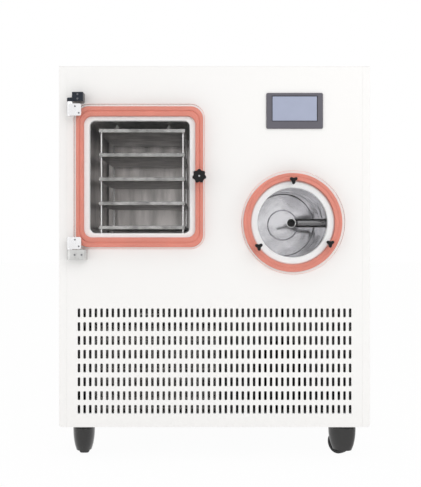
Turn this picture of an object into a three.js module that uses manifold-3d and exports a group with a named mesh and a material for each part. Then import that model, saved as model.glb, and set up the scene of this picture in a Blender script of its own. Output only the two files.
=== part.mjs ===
// Floor-standing freeze dryer: a square shelf chamber with an acrylic door on the left, a round
// cold trap with an acrylic cover and a touch screen on the right, and a slotted vent panel below.
// Millimetres, +Z up, the front faces -Y. The origin is on the floor, under the middle of the
// whole machine. The pieces are laid out round the cabinet's centre plane and then shifted.

import * as THREE from 'three';
import { mergeVertices } from 'three/addons/utils/BufferGeometryUtils.js';
import Module from 'manifold-3d';

const wasm = await Module();
wasm.setup();

// ---- Fits ---------------------------------------------------------------------------------------
const SEAT = 0.3;                 // gap where one piece rests on or in another
const BORE_PLAY = 0.4;            // radial clearance of a pin, shank or shaft in its hole
const PANEL_SEAM = 0.3;           // gap between neighbouring cabinet sheets
const OVERRUN = 1;                // a cut reaches past its face, and a joined piece into its neighbour

// ---- Cabinet ------------------------------------------------------------------------------------
const CABINET_WIDTH = 1000;
const CABINET_DEPTH = 750;
const CABINET_HEIGHT = 1160;
const SHEET = 2;
const RETURN_WIDTH = 25;          // side panels folded in across the front and rear
const FOOT_WIDTH = 20;            // side panels folded in under the base tray
const BEND_RADIUS = 10;
const LID_FLANGE = 18;
const TRAY_SHEET = 3;
const TRAY_WALL = 40;
const DECK_SHEET = 3;
const DECK_FLANGE = 30;

// ---- Vent panel ---------------------------------------------------------------------------------
const VENT_PANEL_HEIGHT = 418;
const SLOT_PITCH_X = 18.15;
const SLOT_PITCH_Z = 44.3;
const SLOT_WIDTH = 7.6;
const SLOT_HEIGHT = 28;
const SLOT_SIDE_MARGIN = 38.5;    // least distance from an outer column's middle to the sheet's edge
const SLOT_LOW_MARGIN = 57;       // lowest row's middle above the cabinet's underside
const SLOT_HIGH_MARGIN = 50;      // least distance from the highest row's middle to the sheet's edge

// ---- Shelf chamber and its door -----------------------------------------------------------------
const CHAMBER_FROM_LEFT = 260.5;
const CHAMBER_FROM_TOP = 357;
const OPENING_WIDTH = 321;
const OPENING_HEIGHT = 361;
const OPENING_CORNER = 18;
const CHAMBER_DEPTH = 500;
const CHAMBER_WALL = 6;
const FLANGE_PROUD = 2;           // sealing flanges stand this far out of the front sheet
const FLANGE_THICKNESS = 10;
const SEAL_SIDE_MARGIN = 42.5;    // seal's outer edge beyond the opening's sides
const SEAL_TOP_MARGIN = 44.5;     // and beyond its top and bottom
const SEAL_CORNER = 40;
const SEAL_SIDE_BAND = 25;
const SEAL_TOP_BAND = 31.5;
const SEAL_INNER_CORNER = 26;
const SEAL_THICKNESS = 12;
const SEAL_OVERHANG = 1;          // seals reach this far past their flange's edge
const DOOR_SIDE_OVERHANG = 5;     // door's edge beyond the seal's sides
const DOOR_TOP_OVERHANG = 5.5;    // and beyond its top and bottom
const DOOR_CORNER = 45;
const DOOR_THICKNESS = 20;

// ---- Shelves ------------------------------------------------------------------------------------
const SHELF_COUNT = 5;
const SHELF_THICKNESS = 12;
const SHELF_SIDE_GAP = 19.75;     // from the opening's sides, before the stack's shift
const SHELF_SETBACK = 50;         // shelf front behind the front sheet
const SHELF_REAR_GAP = 28;        // from the chamber's rear wall
const BOTTOM_SHELF_LIFT = 13.5;   // under the lowest shelf
const TOP_SHELF_GAP = 19.5;       // over the highest shelf
const SHELF_SHIFT = 2.5;          // shelf stack right of the chamber's centre plane
const TRAY_RIM = 12;
const TRAY_RECESS = 3;
const ROD_RADIUS = 3.5;
const ROD_INSET = 6.5;            // rod axis inside the shelf's side edge
const ROD_SETBACK = 20;           // rod axis behind the shelf's front edge
const HANGER_SPREAD = 173;
const HANGER_FOOT_RADIUS = 5;
const HANGER_NECK_RADIUS = 2.5;
const HANGER_SETBACK = 60;

// ---- Door hinges and knob -----------------------------------------------------------------------
const HINGE_AXIS_OFFSET = 11.5;   // hinge axis left of the door's edge
const BARREL_RADIUS = 11;
const HINGE_PIN_RADIUS = 4;
const HINGE_PIN_REACH = 14;
const LEAF_WIDTH = 40;
const LEAF_HEIGHT = 38;
const LEAF_THICKNESS = 4;
const LEAF_CORNER = 5;
const LEAF_WRAP = 4;              // leaf's edge left of the hinge axis
const BLOCK_REACH = 40;           // hinge blocks stand this far out of the front sheet
const UPPER_BLOCK_WIDTH = 35;
const UPPER_BLOCK_HEIGHT = 29;
const UPPER_BLOCK_RISE = 8;       // above the door
const UPPER_EAR_HEIGHT = 12;
const LOWER_BLOCK_WIDTH = 62;
const LOWER_BLOCK_HEIGHT = 33;
const LOWER_BLOCK_DROP = 2;       // below the door
const LOWER_BLOCK_CHAMFER = 8;
const STAR_RADIUS = 22.5;
const STAR_WAIST = 17.5;          // radius in the valleys between the lobes
const STAR_LOBES = 7;
const STAR_THICKNESS = 14;
const STAR_HUB_RADIUS = 11;
const STAR_HUB_HEIGHT = 10;
const STAR_SHANK_RADIUS = 4;
const STAR_SHANK_LENGTH = 9;
const STAR_FROM_EDGE = 17;

// ---- Cold trap ----------------------------------------------------------------------------------
const TRAP_FROM_RIGHT = 250;
const TRAP_FROM_TOP = 503;
const TRAP_RADIUS = 112;
const TRAP_DEPTH = 400;
const TRAP_WALL = 4;
const TRAP_BOSS_RADIUS = 54;
const TRAP_BOSS_RISE = 3;
const TRAP_SEAL_MARGIN = 46;      // seal's outer edge beyond the trap's bore
const TRAP_SEAL_BAND = 24;
const COVER_OVERHANG = 7;         // cover's edge beyond the seal
const COVER_THICKNESS = 18;
const THUMB_RADIUS = 13.5;
const THUMB_WAIST = 6.75;
const THUMB_LOBES = 3;
const THUMB_THICKNESS = 12;
const THUMB_HUB_RADIUS = 7;
const THUMB_HUB_HEIGHT = 5;
const THUMB_SHANK_RADIUS = 3;
const THUMB_SHANK_GRIP = 7;       // shank in the flange's blind hole
const THUMB_ANGLES = [90, 215, 330];
const SADDLE_SHEET = 4;
const SADDLE_WIDTH = 170;
const SADDLE_HEIGHT = 46;
const SADDLE_LENGTH = 220;
const SADDLE_SETBACK = 60;        // behind the trap's flange
const STAND_INSET = 20;           // stand's sides inside the opening's sides
const STAND_FOOT = 25;
const STAND_SETBACK = 40;         // stand's ends inside the chamber's ends
const DUCT_RADIUS = 32;
const DUCT_WALL = 3;
const DUCT_RISE = 30;             // duct above the trap's axis
const DUCT_SETBACK = 330;         // duct axis behind the front sheet
const SUCTION_RADIUS = 14;
const SUCTION_WALL = 2;
const SUCTION_TURN = 32;          // from the mouth to the run across
const SUCTION_BEND = 28;
const SUCTION_MOUTH_SETBACK = 45;
const SUCTION_SIDE_GAP = 16;      // from the trap's wall to the start of the pipe's bend to the rear

// ---- Touch screen -------------------------------------------------------------------------------
const SCREEN_FROM_RIGHT = 243;
const SCREEN_FROM_TOP = 144.3;
const BEZEL_WIDTH = 182;
const BEZEL_HEIGHT = 115;
const BEZEL_CORNER = 5;
const BEZEL_PROUD = 6;
const SCREEN_BODY_WIDTH = 168;
const SCREEN_BODY_HEIGHT = 101;
const SCREEN_BODY_DEPTH = 36;
const GLASS_WIDTH = 146;
const GLASS_HEIGHT = 81.5;
const GLASS_THICKNESS = 3;
const GLASS_RISE = 7;             // glass above the bezel's middle
const GLASS_SUNK = 1;

// ---- Casters ------------------------------------------------------------------------------------
const CASTER_INSET_X = 70;
const CASTER_INSET_Y = 65;
const WHEEL_RADIUS = 37.5;
const WHEEL_WIDTH = 30;
const WHEEL_TRAIL = 28;
const WHEEL_GAP = 3;              // wheel to hood, round the tread
const WHEEL_SIDE_GAP = 1;         // and on each side
const AXLE_RADIUS = 4;
const AXLE_SEAT = 2;              // axle's ends in the hood
const STEM_SEAT = 2;              // stem's foot in the hood
const WHEEL_CHAMFER = 6;
const HOOD_SCALE_X = 0.7;         // hood is narrower across than along
const HOOD_SHIFT = 15;            // hood's middle behind the swivel axis
const HOOD_HEAD = 21;             // hood's top above the wheel
const HOOD_PROFILE = [            // [radius beyond the wheel's, depth below the hood's top]
  [-6.5, 80], [2.5, 62], [9.5, 38], [12.5, 18], [12.5, 6], [8.5, 0],
];
const CASTER_HEAD = 28;           // cabinet's underside above the wheel
const STEM_RADIUS = 8;
const RACE_RADIUS = 26;
const RACE_HEIGHT = 5;
const CASTER_PLATE = 76;
const CASTER_PLATE_SHEET = 3.5;
const CASTER_TURN = { front_left: 0, front_right: 42, rear_left: 0, rear_right: 0 };

// ---- Machinery in the base ----------------------------------------------------------------------
const CONDENSER_WIDTH = 420;
const CONDENSER_HEIGHT = 320;
const CONDENSER_DEPTH = 40;
const CONDENSER_CORE = 16;
const CONDENSER_X = -190;
const CONDENSER_SETBACK = 30;
const FIN_COUNT = 18;
const FIN_SHEET = 3;
const DUCT_RING_RADIUS = 146;
const SHROUD_DEPTH = 50;
const SHROUD_SHEET = 3;
const STRUT_WIDTH = 14;
const MOTOR_RADIUS = 34;
const MOTOR_LENGTH = 60;
const FAN_SHAFT_RADIUS = 4;
const FAN_TIP_GAP = 6;
const FAN_HUB_RADIUS = 30;
const FAN_HUB_LENGTH = 26;
const FAN_BLADES = 5;
const FAN_BLADE_PITCH = 32;
const FAN_BLADE_SHEET = 2.5;
const FAN_BLADE = { rootSunk: 6, rootHalf: 14, bellyHalf: 34, tipHalf: 20, tipSlope: 12 };
const FAN_TIP_RELIEF = 2;
const FAN_HUB_GAP = 2;            // hub to the motor's face
const FAN_BLADE_LEAD = 6;         // blades' middle ahead of the hub's middle
const COMPRESSOR_X = 240;
const COMPRESSOR_Y = -20;
const COMPRESSOR_RADIUS = 92;
const COMPRESSOR_HEIGHT = 230;
const COMPRESSOR_FOOT = 14;
const COMPRESSOR_HEEL = { inset: 14, rise: 23 };    // turn from the pot's flat underside to its wall
const COMPRESSOR_BEAD = { lift: 120, width: 13, proud: 5, chamfer: 3 };   // welded seam round it
const COMPRESSOR_CROWN = [        // [inset from the pot's wall, depth below its top]
  [3, 50], [26, 16], [60, 0],
];
const COMPRESSOR_PLATE_MARGIN = 16;
const COMPRESSOR_PLATE_DEPTH = 140;
const COMPRESSOR_PLATE_SHEET = 4;
const COMPRESSOR_GROMMET_RADIUS = 10;
const COMPRESSOR_GROMMET_SPREAD = 112;
const COMPRESSOR_GROMMET_RISE = 3;      // grommet's top above the plate
const CONTROL_BOX = { width: 200, depth: 150, height: 240, lid: 6, lidInset: 4 };
const CONTROL_BOX_FROM_REAR = 40;

// ---- Rear connections ---------------------------------------------------------------------------
const PORT_FLANGE_RADIUS = 20;
const PORT_REACH = 38;
const PORT_FLANGE_RIM = 4;
const PORT_COLLAR_RADIUS = 24;
const PORT_COLLAR_SHEET = 5;
const PORT_SLEEVE = 24;           // port pushed over the suction pipe
const DRAIN_RADIUS = 9;
const DRAIN_WALL = 2;
const DRAIN_BEND = 30;
const DRAIN_DROP = 210;           // from the trap's underside to the drain's run to the rear
const DRAIN_SETBACK = 300;
const VALVE_REACH = 46;
const VALVE_END_GAP = 4;          // pipe that shows at each end of the valve's body
const VALVE_BODY_RADIUS = 16;
const VALVE_CHAMFER = 3;
const VALVE_TAPER = 8;
const LEVER_LENGTH = 60;
const LEVER_WIDTH = 14;
const LEVER_SHEET = 3;
const LEVER_RISE = 2;             // lever above the valve's body
const VALVE_STEM_LENGTH = 9;
const VALVE_STEM_RADIUS = 4;
const GLAND_RADIUS = 13;
const GLAND_NECK_RADIUS = 9;
const GLAND_BORE = 5;
const GLAND_NUT = 8;
const GLAND_REACH = 22;
const GLAND_RISE = 60;            // gland above the deck
const LOUVRE_ROWS = 9;
const LOUVRE_COLUMNS = 2;
const LOUVRE_WIDTH = 110;
const LOUVRE_HEIGHT = 8;
const LOUVRE_PITCH_X = 130;
const LOUVRE_PITCH_Z = 28;
const LOUVRE_FROM_BASE = 80;

// ---- Facets -------------------------------------------------------------------------------------
const ROUND_LARGE = 32;
const ROUND_WHEEL = 16;
const ROUND_MEDIUM = 12;
const ROUND_SMALL = 8;
const CORNER_STEPS = 3;
const LOBE_STEPS = 5;
const WELD = 1e-3;

// ---- Places worked out from the sizes -----------------------------------------------------------
const left = -CABINET_WIDTH / 2;
const right = CABINET_WIDTH / 2;
const front = -CABINET_DEPTH / 2;
const back = CABINET_DEPTH / 2;
const bottom = 2 * WHEEL_RADIUS + CASTER_HEAD;
const top = bottom + CABINET_HEIGHT;
const innerX = right - SHEET - SEAT;
const innerY = back - SHEET - SEAT;
const lidUnderside = top - SHEET - PANEL_SEAM;
const frontHalfWidth = right - RETURN_WIDTH - PANEL_SEAM;
const ventTop = bottom + VENT_PANEL_HEIGHT;
const slotColumns = Math.floor((2 * (frontHalfWidth - SLOT_SIDE_MARGIN)) / SLOT_PITCH_X) + 1;
const slotRows = Math.floor((VENT_PANEL_HEIGHT - SLOT_LOW_MARGIN - SLOT_HIGH_MARGIN) / SLOT_PITCH_Z) + 1;
const trayBottom = bottom + SHEET + SEAT;
const trayFloor = trayBottom + TRAY_SHEET;

const flangeFront = front - FLANGE_PROUD;
const flangeBack = flangeFront + FLANGE_THICKNESS;
const sealBack = flangeFront - SEAT;
const sealFront = sealBack - SEAL_THICKNESS;
const doorBack = sealFront - SEAT;
const doorFront = doorBack - DOOR_THICKNESS;
const coverFront = doorBack - COVER_THICKNESS;

const chamber = { x: left + CHAMBER_FROM_LEFT, z: top - CHAMBER_FROM_TOP };
const chamberBack = flangeFront + CHAMBER_DEPTH;
const chamberFloor = chamber.z - OPENING_HEIGHT / 2;
const chamberCeiling = chamber.z + OPENING_HEIGHT / 2;
const chamberUnderside = chamberFloor - CHAMBER_WALL;
const chamberSide = chamber.x + OPENING_WIDTH / 2 + CHAMBER_WALL;
const seal = {
  width: OPENING_WIDTH + 2 * SEAL_SIDE_MARGIN,
  height: OPENING_HEIGHT + 2 * SEAL_TOP_MARGIN,
};
const door = {
  width: seal.width + 2 * DOOR_SIDE_OVERHANG,
  height: seal.height + 2 * DOOR_TOP_OVERHANG,
};

const trap = { x: right - TRAP_FROM_RIGHT, z: top - TRAP_FROM_TOP };
const trapOuter = TRAP_RADIUS + TRAP_WALL;
const trapBack = flangeFront + TRAP_DEPTH;
const trapSeal = TRAP_RADIUS + TRAP_SEAL_MARGIN;
const trapFlange = trapSeal - SEAL_OVERHANG;
const thumbCircle = trapSeal - TRAP_SEAL_BAND;
const coverRadius = trapSeal + COVER_OVERHANG;
const deckTop = trap.z - trapOuter - SADDLE_SHEET - 2 * SEAT;
const suctionX = trap.x + trapOuter + SUCTION_SIDE_GAP + SUCTION_BEND;

const screen = { x: right - SCREEN_FROM_RIGHT, z: top - SCREEN_FROM_TOP };
const shelfX = chamber.x + SHELF_SHIFT;
const shelfHalf = OPENING_WIDTH / 2 - SHELF_SIDE_GAP;
const shelfFront = front + SHELF_SETBACK;
const shelfBack = chamberBack - SHELF_REAR_GAP;
const shelfRodX = shelfHalf - ROD_INSET;
const shelfRodsY = [shelfFront + ROD_SETBACK, shelfBack - ROD_SETBACK];
const topShelfTop = chamberCeiling - TOP_SHELF_GAP;
const bottomShelf = chamberFloor + BOTTOM_SHELF_LIFT;
const shelfPitch = (topShelfTop - SHELF_THICKNESS - bottomShelf) / (SHELF_COUNT - 1);

const doorLeft = chamber.x - door.width / 2;
const doorTop = chamber.z + door.height / 2;
const doorBottom = chamber.z - door.height / 2;
const hinge = { x: doorLeft - HINGE_AXIS_OFFSET, y: (doorFront + doorBack) / 2 };
const upperBlockBottom = doorTop + UPPER_BLOCK_RISE;
const lowerBlockTop = doorBottom - LOWER_BLOCK_DROP;
const star = { x: doorLeft + door.width - STAR_FROM_EDGE, z: chamber.z };

const hoodTop = 2 * WHEEL_RADIUS + HOOD_HEAD;
const trayRest = trayBottom - SEAT;
const plateBottom = trayRest - CASTER_PLATE_SHEET;

const condenserFront = front + SHEET + CONDENSER_SETBACK;
const condenserBack = condenserFront + CONDENSER_DEPTH;
const shroudFront = condenserBack + SEAT;
const fanZ = trayFloor + SEAT + CONDENSER_HEIGHT / 2;
const motorFront = shroudFront + SHROUD_DEPTH;
const drainY = front + DRAIN_SETBACK;
const drainRunZ = trap.z - trapOuter - DRAIN_DROP;
const drainEnd = back + VALVE_REACH;
const valveCentreY = (back + drainEnd) / 2;
const glandX = trap.x;
const glandZ = deckTop + GLAND_RISE;

// ---- Finishes -----------------------------------------------------------------------------------
const FINISHES = {
  white: { color: 0xf5f4f1, roughness: 0.45, metalness: 0 },
  galvanised: { color: 0xaeb3b6, roughness: 0.5, metalness: 0.8 },
  stainless: { color: 0xb9b8b4, roughness: 0.25, metalness: 1 },
  chrome: { color: 0xd8dadd, roughness: 0.12, metalness: 1 },
  silicone: { color: 0xe88f7c, roughness: 0.55, metalness: 0 },
  acrylic: { color: 0xeef4f5, roughness: 0.05, metalness: 0, transparent: true, opacity: 0.25 },
  black: { color: 0x141414, roughness: 0.35, metalness: 0 },
  bezel: { color: 0x5c6166, roughness: 0.4, metalness: 0.1 },
  display: { color: 0x8fa0b4, roughness: 0.2, metalness: 0 },
  rubber: { color: 0x2a2a2b, roughness: 0.8, metalness: 0 },
  ptfe: { color: 0xf2f2ee, roughness: 0.5, metalness: 0 },
  aluminium: { color: 0xc3c7ca, roughness: 0.4, metalness: 0.9 },
  enamel: { color: 0x1d1f22, roughness: 0.4, metalness: 0.2 },
  grey: { color: 0xa9adb0, roughness: 0.5, metalness: 0.1 },
  brass: { color: 0xc9a45c, roughness: 0.3, metalness: 1 },
  red: { color: 0xb3261e, roughness: 0.45, metalness: 0 },
};

// ---- Solids -------------------------------------------------------------------------------------

/** A geometry as a manifold solid, with its shared vertices merged. */
function toSolid(geometry) {
  const bare = geometry.index ? geometry.toNonIndexed() : geometry.clone();
  bare.deleteAttribute('normal');
  bare.deleteAttribute('uv');
  const merged = mergeVertices(bare, WELD);
  return new wasm.Manifold(new wasm.Mesh({
    numProp: 3,
    vertProperties: new Float32Array(merged.attributes.position.array),
    triVerts: new Uint32Array(merged.index.array),
  }));
}

/** A manifold solid as a geometry. */
function toGeometry(solid) {
  const mesh = solid.getMesh();
  const geometry = new THREE.BufferGeometry();
  geometry.setAttribute('position', new THREE.BufferAttribute(mesh.vertProperties, 3));
  geometry.setIndex(new THREE.BufferAttribute(mesh.triVerts, 1));
  return geometry;
}

/** Several geometries joined into one. */
function join(...geometries) {
  return toGeometry(geometries.map(toSolid).reduce((whole, piece) => whole.add(piece)));
}

/** A geometry with others cut out of it. */
function cut(body, ...tools) {
  return toGeometry(tools.map(toSolid).reduce((rest, tool) => rest.subtract(tool), toSolid(body)));
}

// ---- Outlines -----------------------------------------------------------------------------------

/** Points on an arc, both ends included; angles in degrees, anticlockwise. */
function arcPoints(x, y, radius, from, to, steps) {
  return Array.from({ length: steps + 1 }, (_, i) => {
    const angle = THREE.MathUtils.degToRad(from + ((to - from) * i) / steps);
    return new THREE.Vector2(x + radius * Math.cos(angle), y + radius * Math.sin(angle));
  });
}

function circlePoints(x, y, radius, sides) {
  return arcPoints(x, y, radius, 0, 360, sides).slice(0, -1);
}

function cornerPoints(x0, x1, y0, y1) {
  return [[x0, y0], [x1, y0], [x1, y1], [x0, y1]].map(([x, y]) => new THREE.Vector2(x, y));
}

function rectPoints(x, y, width, height) {
  return cornerPoints(x - width / 2, x + width / 2, y - height / 2, y + height / 2);
}

function roundedRectPoints(x, y, width, height, radius) {
  const dx = width / 2 - radius;
  const dy = height / 2 - radius;
  return [
    ...arcPoints(x + dx, y - dy, radius, -90, 0, CORNER_STEPS),
    ...arcPoints(x + dx, y + dy, radius, 0, 90, CORNER_STEPS),
    ...arcPoints(x - dx, y + dy, radius, 90, 180, CORNER_STEPS),
    ...arcPoints(x - dx, y - dy, radius, 180, 270, CORNER_STEPS),
  ];
}

/** A ring of equal lobes round a point: the radius swings between the tips and the valleys. */
function lobedPoints(x, y, tip, valley, lobes, phase) {
  const steps = lobes * LOBE_STEPS;
  const mean = (tip + valley) / 2;
  const swing = (tip - valley) / 2;
  return Array.from({ length: steps }, (_, i) => {
    const angle = (2 * Math.PI * i) / steps;
    const radius = mean + swing * Math.cos(lobes * angle);
    const turned = angle + phase;
    return new THREE.Vector2(x + radius * Math.cos(turned), y + radius * Math.sin(turned));
  });
}

function outline(points, holes = []) {
  const shape = new THREE.Shape(points);
  shape.holes = holes.map((hole) => new THREE.Path(hole));
  return shape;
}

// ---- Basic forms --------------------------------------------------------------------------------

/** A box between two corners. Its vertices take the given values, so neighbours share faces. */
function block(x0, x1, y0, y1, z0, z1) {
  const box = new THREE.BoxGeometry(1, 1, 1);
  const corners = box.attributes.position;
  for (let i = 0; i < corners.count; i += 1) {
    corners.setXYZ(
      i,
      corners.getX(i) < 0 ? x0 : x1,
      corners.getY(i) < 0 ? y0 : y1,
      corners.getZ(i) < 0 ? z0 : z1,
    );
  }
  return box;
}

/** Extrudes an outline drawn in X and Y upwards, with its ends at z0 and z1. */
function extrudeZ(shape, z0, z1) {
  const solid = new THREE.ExtrudeGeometry(shape, { depth: 1, bevelEnabled: false });
  const corners = solid.attributes.position;
  for (let i = 0; i < corners.count; i += 1) {
    corners.setZ(i, corners.getZ(i) < 0.5 ? z0 : z1);
  }
  return solid;
}

/** Extrudes an outline drawn in X and Z towards the rear, from y0 to y1. */
function extrudeY(shape, y0, y1) {
  return extrudeZ(shape, -y1, -y0).rotateX(Math.PI / 2);
}

/** Turns a profile of [radius, height] pairs about the Y axis, height along Y. */
function turnedY(profile, sides) {
  return new THREE.LatheGeometry(profile.map(([r, h]) => new THREE.Vector2(r, h)), sides);
}

/** Turns a profile about the Z axis, height along Z. */
function turnedZ(profile, sides) {
  return turnedY(profile, sides).rotateX(Math.PI / 2);
}

/** Turns a profile about the X axis, height along X. */
function turnedX(profile, sides) {
  return turnedY(profile, sides).rotateZ(-Math.PI / 2);
}

function rodProfile(radius, low, high) {
  return [[0, low], [radius, low], [radius, high], [0, high]];
}

function rodX(radius, x0, x1, y, z, sides) {
  return turnedX(rodProfile(radius, x0, x1), sides).translate(0, y, z);
}

function rodY(radius, y0, y1, x, z, sides) {
  return turnedY(rodProfile(radius, y0, y1), sides).translate(x, 0, z);
}

function rodZ(radius, z0, z1, x, y, sides) {
  return turnedZ(rodProfile(radius, z0, z1), sides).translate(x, y, 0);
}

/** The radius of a faceted bore whose flats leave the given play round a pin. */
function boreRadius(pinRadius, play, sides) {
  return (pinRadius + play) / Math.cos(Math.PI / sides);
}

/** A path through chosen stations: each step of an extrusion along it ends at one of them. */
class StationPath extends THREE.Curve {
  constructor(stations) {
    super();
    this.stations = stations;
  }

  getPoint(t, target = new THREE.Vector3()) {
    const place = t * (this.stations.length - 1);
    const index = Math.min(Math.floor(place), this.stations.length - 2);
    return target.lerpVectors(this.stations[index], this.stations[index + 1], place - index);
  }

  getPointAt(u, target) {
    return this.getPoint(u, target);
  }

  getTangentAt(u, target = new THREE.Vector3()) {
    const last = this.stations.length - 1;
    const index = Math.round(u * last);
    const before = this.stations[Math.max(index - 1, 0)];
    const after = this.stations[Math.min(index + 1, last)];
    return target.subVectors(after, before).normalize();
  }
}

/** A pipe through corner points, with right-angle bends of one radius. */
function bentPipe(corners, bendRadius, outer, wall, sides) {
  const stations = [corners[0]];
  for (let i = 1; i < corners.length - 1; i += 1) {
    const into = new THREE.Vector3().subVectors(corners[i], corners[i - 1]).normalize();
    const out = new THREE.Vector3().subVectors(corners[i + 1], corners[i]).normalize();
    const start = corners[i].clone().addScaledVector(into, -bendRadius);
    const steps = CORNER_STEPS;
    for (let step = 0; step <= steps; step += 1) {
      const angle = ((Math.PI / 2) * step) / steps;
      stations.push(start.clone()
        .addScaledVector(into, bendRadius * Math.sin(angle))
        .addScaledVector(out, bendRadius * (1 - Math.cos(angle))));
    }
  }
  stations.push(corners[corners.length - 1]);
  const section = outline(circlePoints(0, 0, outer, sides), [circlePoints(0, 0, outer - wall, sides)]);
  return new THREE.ExtrudeGeometry(section, {
    steps: stations.length - 1,
    bevelEnabled: false,
    extrudePath: new StationPath(stations),
  });
}

// ---- Cabinet ------------------------------------------------------------------------------------

/** A folded side: the web rolls in under the tray and folds across the front and the rear. */
function sidePanel(side) {
  const roll = (radius, from, to) => arcPoints(0, 0, radius, from, to, CORNER_STEPS)
    .map((p) => new THREE.Vector2(side * (right - BEND_RADIUS + p.x), bottom + BEND_RADIUS + p.y));
  const at = (inset, z) => new THREE.Vector2(side * (right - inset), z);
  const outerRoll = roll(BEND_RADIUS, 0, -90);
  const wrap = outline([
    at(0, lidUnderside), ...outerRoll, at(FOOT_WIDTH, bottom), at(FOOT_WIDTH, bottom + SHEET),
    ...roll(BEND_RADIUS - SHEET, -90, 0), at(SHEET, lidUnderside),
  ]);
  const fold = outline([
    at(0, lidUnderside), ...outerRoll, at(RETURN_WIDTH, bottom), at(RETURN_WIDTH, lidUnderside),
  ]);
  return join(
    extrudeY(wrap, front, back),
    extrudeY(fold, front, front + SHEET),
    extrudeY(fold, back - SHEET, back),
  );
}

/** A wall of sheet all round, from z0 to z1: outer faces at halfX, frontY and the inner rear. */
function foldedWall(halfX, frontY, sheet, z0, z1) {
  const outer = cornerPoints(-halfX, halfX, frontY, innerY);
  const inner = cornerPoints(-halfX + sheet, halfX - sheet, frontY + sheet, innerY - sheet);
  return extrudeZ(outline(outer, [inner]), z0, z1);
}

/** The lid: a flat sheet over the whole cabinet with its flange folded down inside. */
function topPanel() {
  const underside = top - SHEET;
  return join(
    block(left, right, front, back, underside, top),
    foldedWall(innerX, -innerY, SHEET, underside - LID_FLANGE, underside),
  );
}

/** The tray that lies on the side panels' feet and carries the casters and the machinery. */
function baseTray() {
  const halfX = right - BEND_RADIUS - SEAT;
  return join(
    block(-halfX, halfX, -innerY, innerY, trayBottom, trayFloor),
    foldedWall(halfX, -innerY, TRAY_SHEET, trayFloor, trayFloor + TRAY_WALL),
  );
}

/** The deck across the cabinet that carries the chamber, the trap and the electrical box. */
function deckPlate() {
  const plateBottomZ = deckTop - DECK_SHEET;
  const deckFront = flangeBack + SEAT;
  return cut(
    join(
      block(-innerX, innerX, deckFront, innerY, plateBottomZ, deckTop),
      foldedWall(innerX, deckFront, DECK_SHEET, plateBottomZ - DECK_FLANGE, plateBottomZ),
    ),
    rodZ(
      boreRadius(DRAIN_RADIUS, SEAT, ROUND_SMALL), plateBottomZ - OVERRUN, deckTop + OVERRUN,
      trap.x, drainY, ROUND_SMALL,
    ),
  );
}

/** The outline of the chamber's seal, grown by a margin all round. */
function sealOutline(margin) {
  return roundedRectPoints(
    chamber.x, chamber.z, seal.width + 2 * margin, seal.height + 2 * margin, SEAL_CORNER + margin,
  );
}

/** The upper front sheet, with the openings for both flanges and the touch screen. */
function frontFascia() {
  const low = ventTop + PANEL_SEAM;
  const sheetOutline = rectPoints(0, (low + lidUnderside) / 2, 2 * frontHalfWidth, lidUnderside - low);
  const chamberCut = sealOutline(SEAT - SEAL_OVERHANG);
  const trapCut = circlePoints(trap.x, trap.z, trapFlange + 2 * SEAT, ROUND_LARGE);
  const screenCut = rectPoints(
    screen.x, screen.z, SCREEN_BODY_WIDTH + 2 * SEAT, SCREEN_BODY_HEIGHT + 2 * SEAT,
  );
  return extrudeY(outline(sheetOutline, [chamberCut, trapCut, screenCut]), front, front + SHEET);
}

/** The lower front sheet: rows and columns of upright air slots. */
function ventPanel() {
  const slots = [];
  for (let row = 0; row < slotRows; row += 1) {
    for (let column = 0; column < slotColumns; column += 1) {
      const x = (column - (slotColumns - 1) / 2) * SLOT_PITCH_X;
      const z = bottom + SLOT_LOW_MARGIN + row * SLOT_PITCH_Z;
      slots.push(block(
        x - SLOT_WIDTH / 2, x + SLOT_WIDTH / 2, front - OVERRUN, front + SHEET + OVERRUN,
        z - SLOT_HEIGHT / 2, z + SLOT_HEIGHT / 2,
      ));
    }
  }
  return cut(
    block(-frontHalfWidth, frontHalfWidth, front, front + SHEET, bottom, ventTop), ...slots,
  );
}

/** The rear sheet: exhaust louvres below, and holes for the vacuum port, drain and mains gland. */
function rearPanel() {
  const y0 = back - SHEET;
  const louvres = [];
  for (let row = 0; row < LOUVRE_ROWS; row += 1) {
    for (let column = 0; column < LOUVRE_COLUMNS; column += 1) {
      const x = CONDENSER_X + (column - (LOUVRE_COLUMNS - 1) / 2) * LOUVRE_PITCH_X;
      const z = bottom + LOUVRE_FROM_BASE + row * LOUVRE_PITCH_Z;
      louvres.push(block(
        x - LOUVRE_WIDTH / 2, x + LOUVRE_WIDTH / 2, y0 - OVERRUN, back + OVERRUN,
        z - LOUVRE_HEIGHT / 2, z + LOUVRE_HEIGHT / 2,
      ));
    }
  }
  const holes = [
    [suctionX, trap.z, SUCTION_RADIUS + SUCTION_WALL],
    [trap.x, drainRunZ, DRAIN_RADIUS],
    [glandX, glandZ, GLAND_NECK_RADIUS],
  ].map(([x, z, radius]) => rodY(
    boreRadius(radius, 2 * SEAT, ROUND_MEDIUM), y0 - OVERRUN, back + OVERRUN, x, z, ROUND_MEDIUM,
  ));
  return cut(
    block(-frontHalfWidth, frontHalfWidth, y0, back, bottom, lidUnderside), ...louvres, ...holes,
  );
}

// ---- Shelf chamber ------------------------------------------------------------------------------

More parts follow.
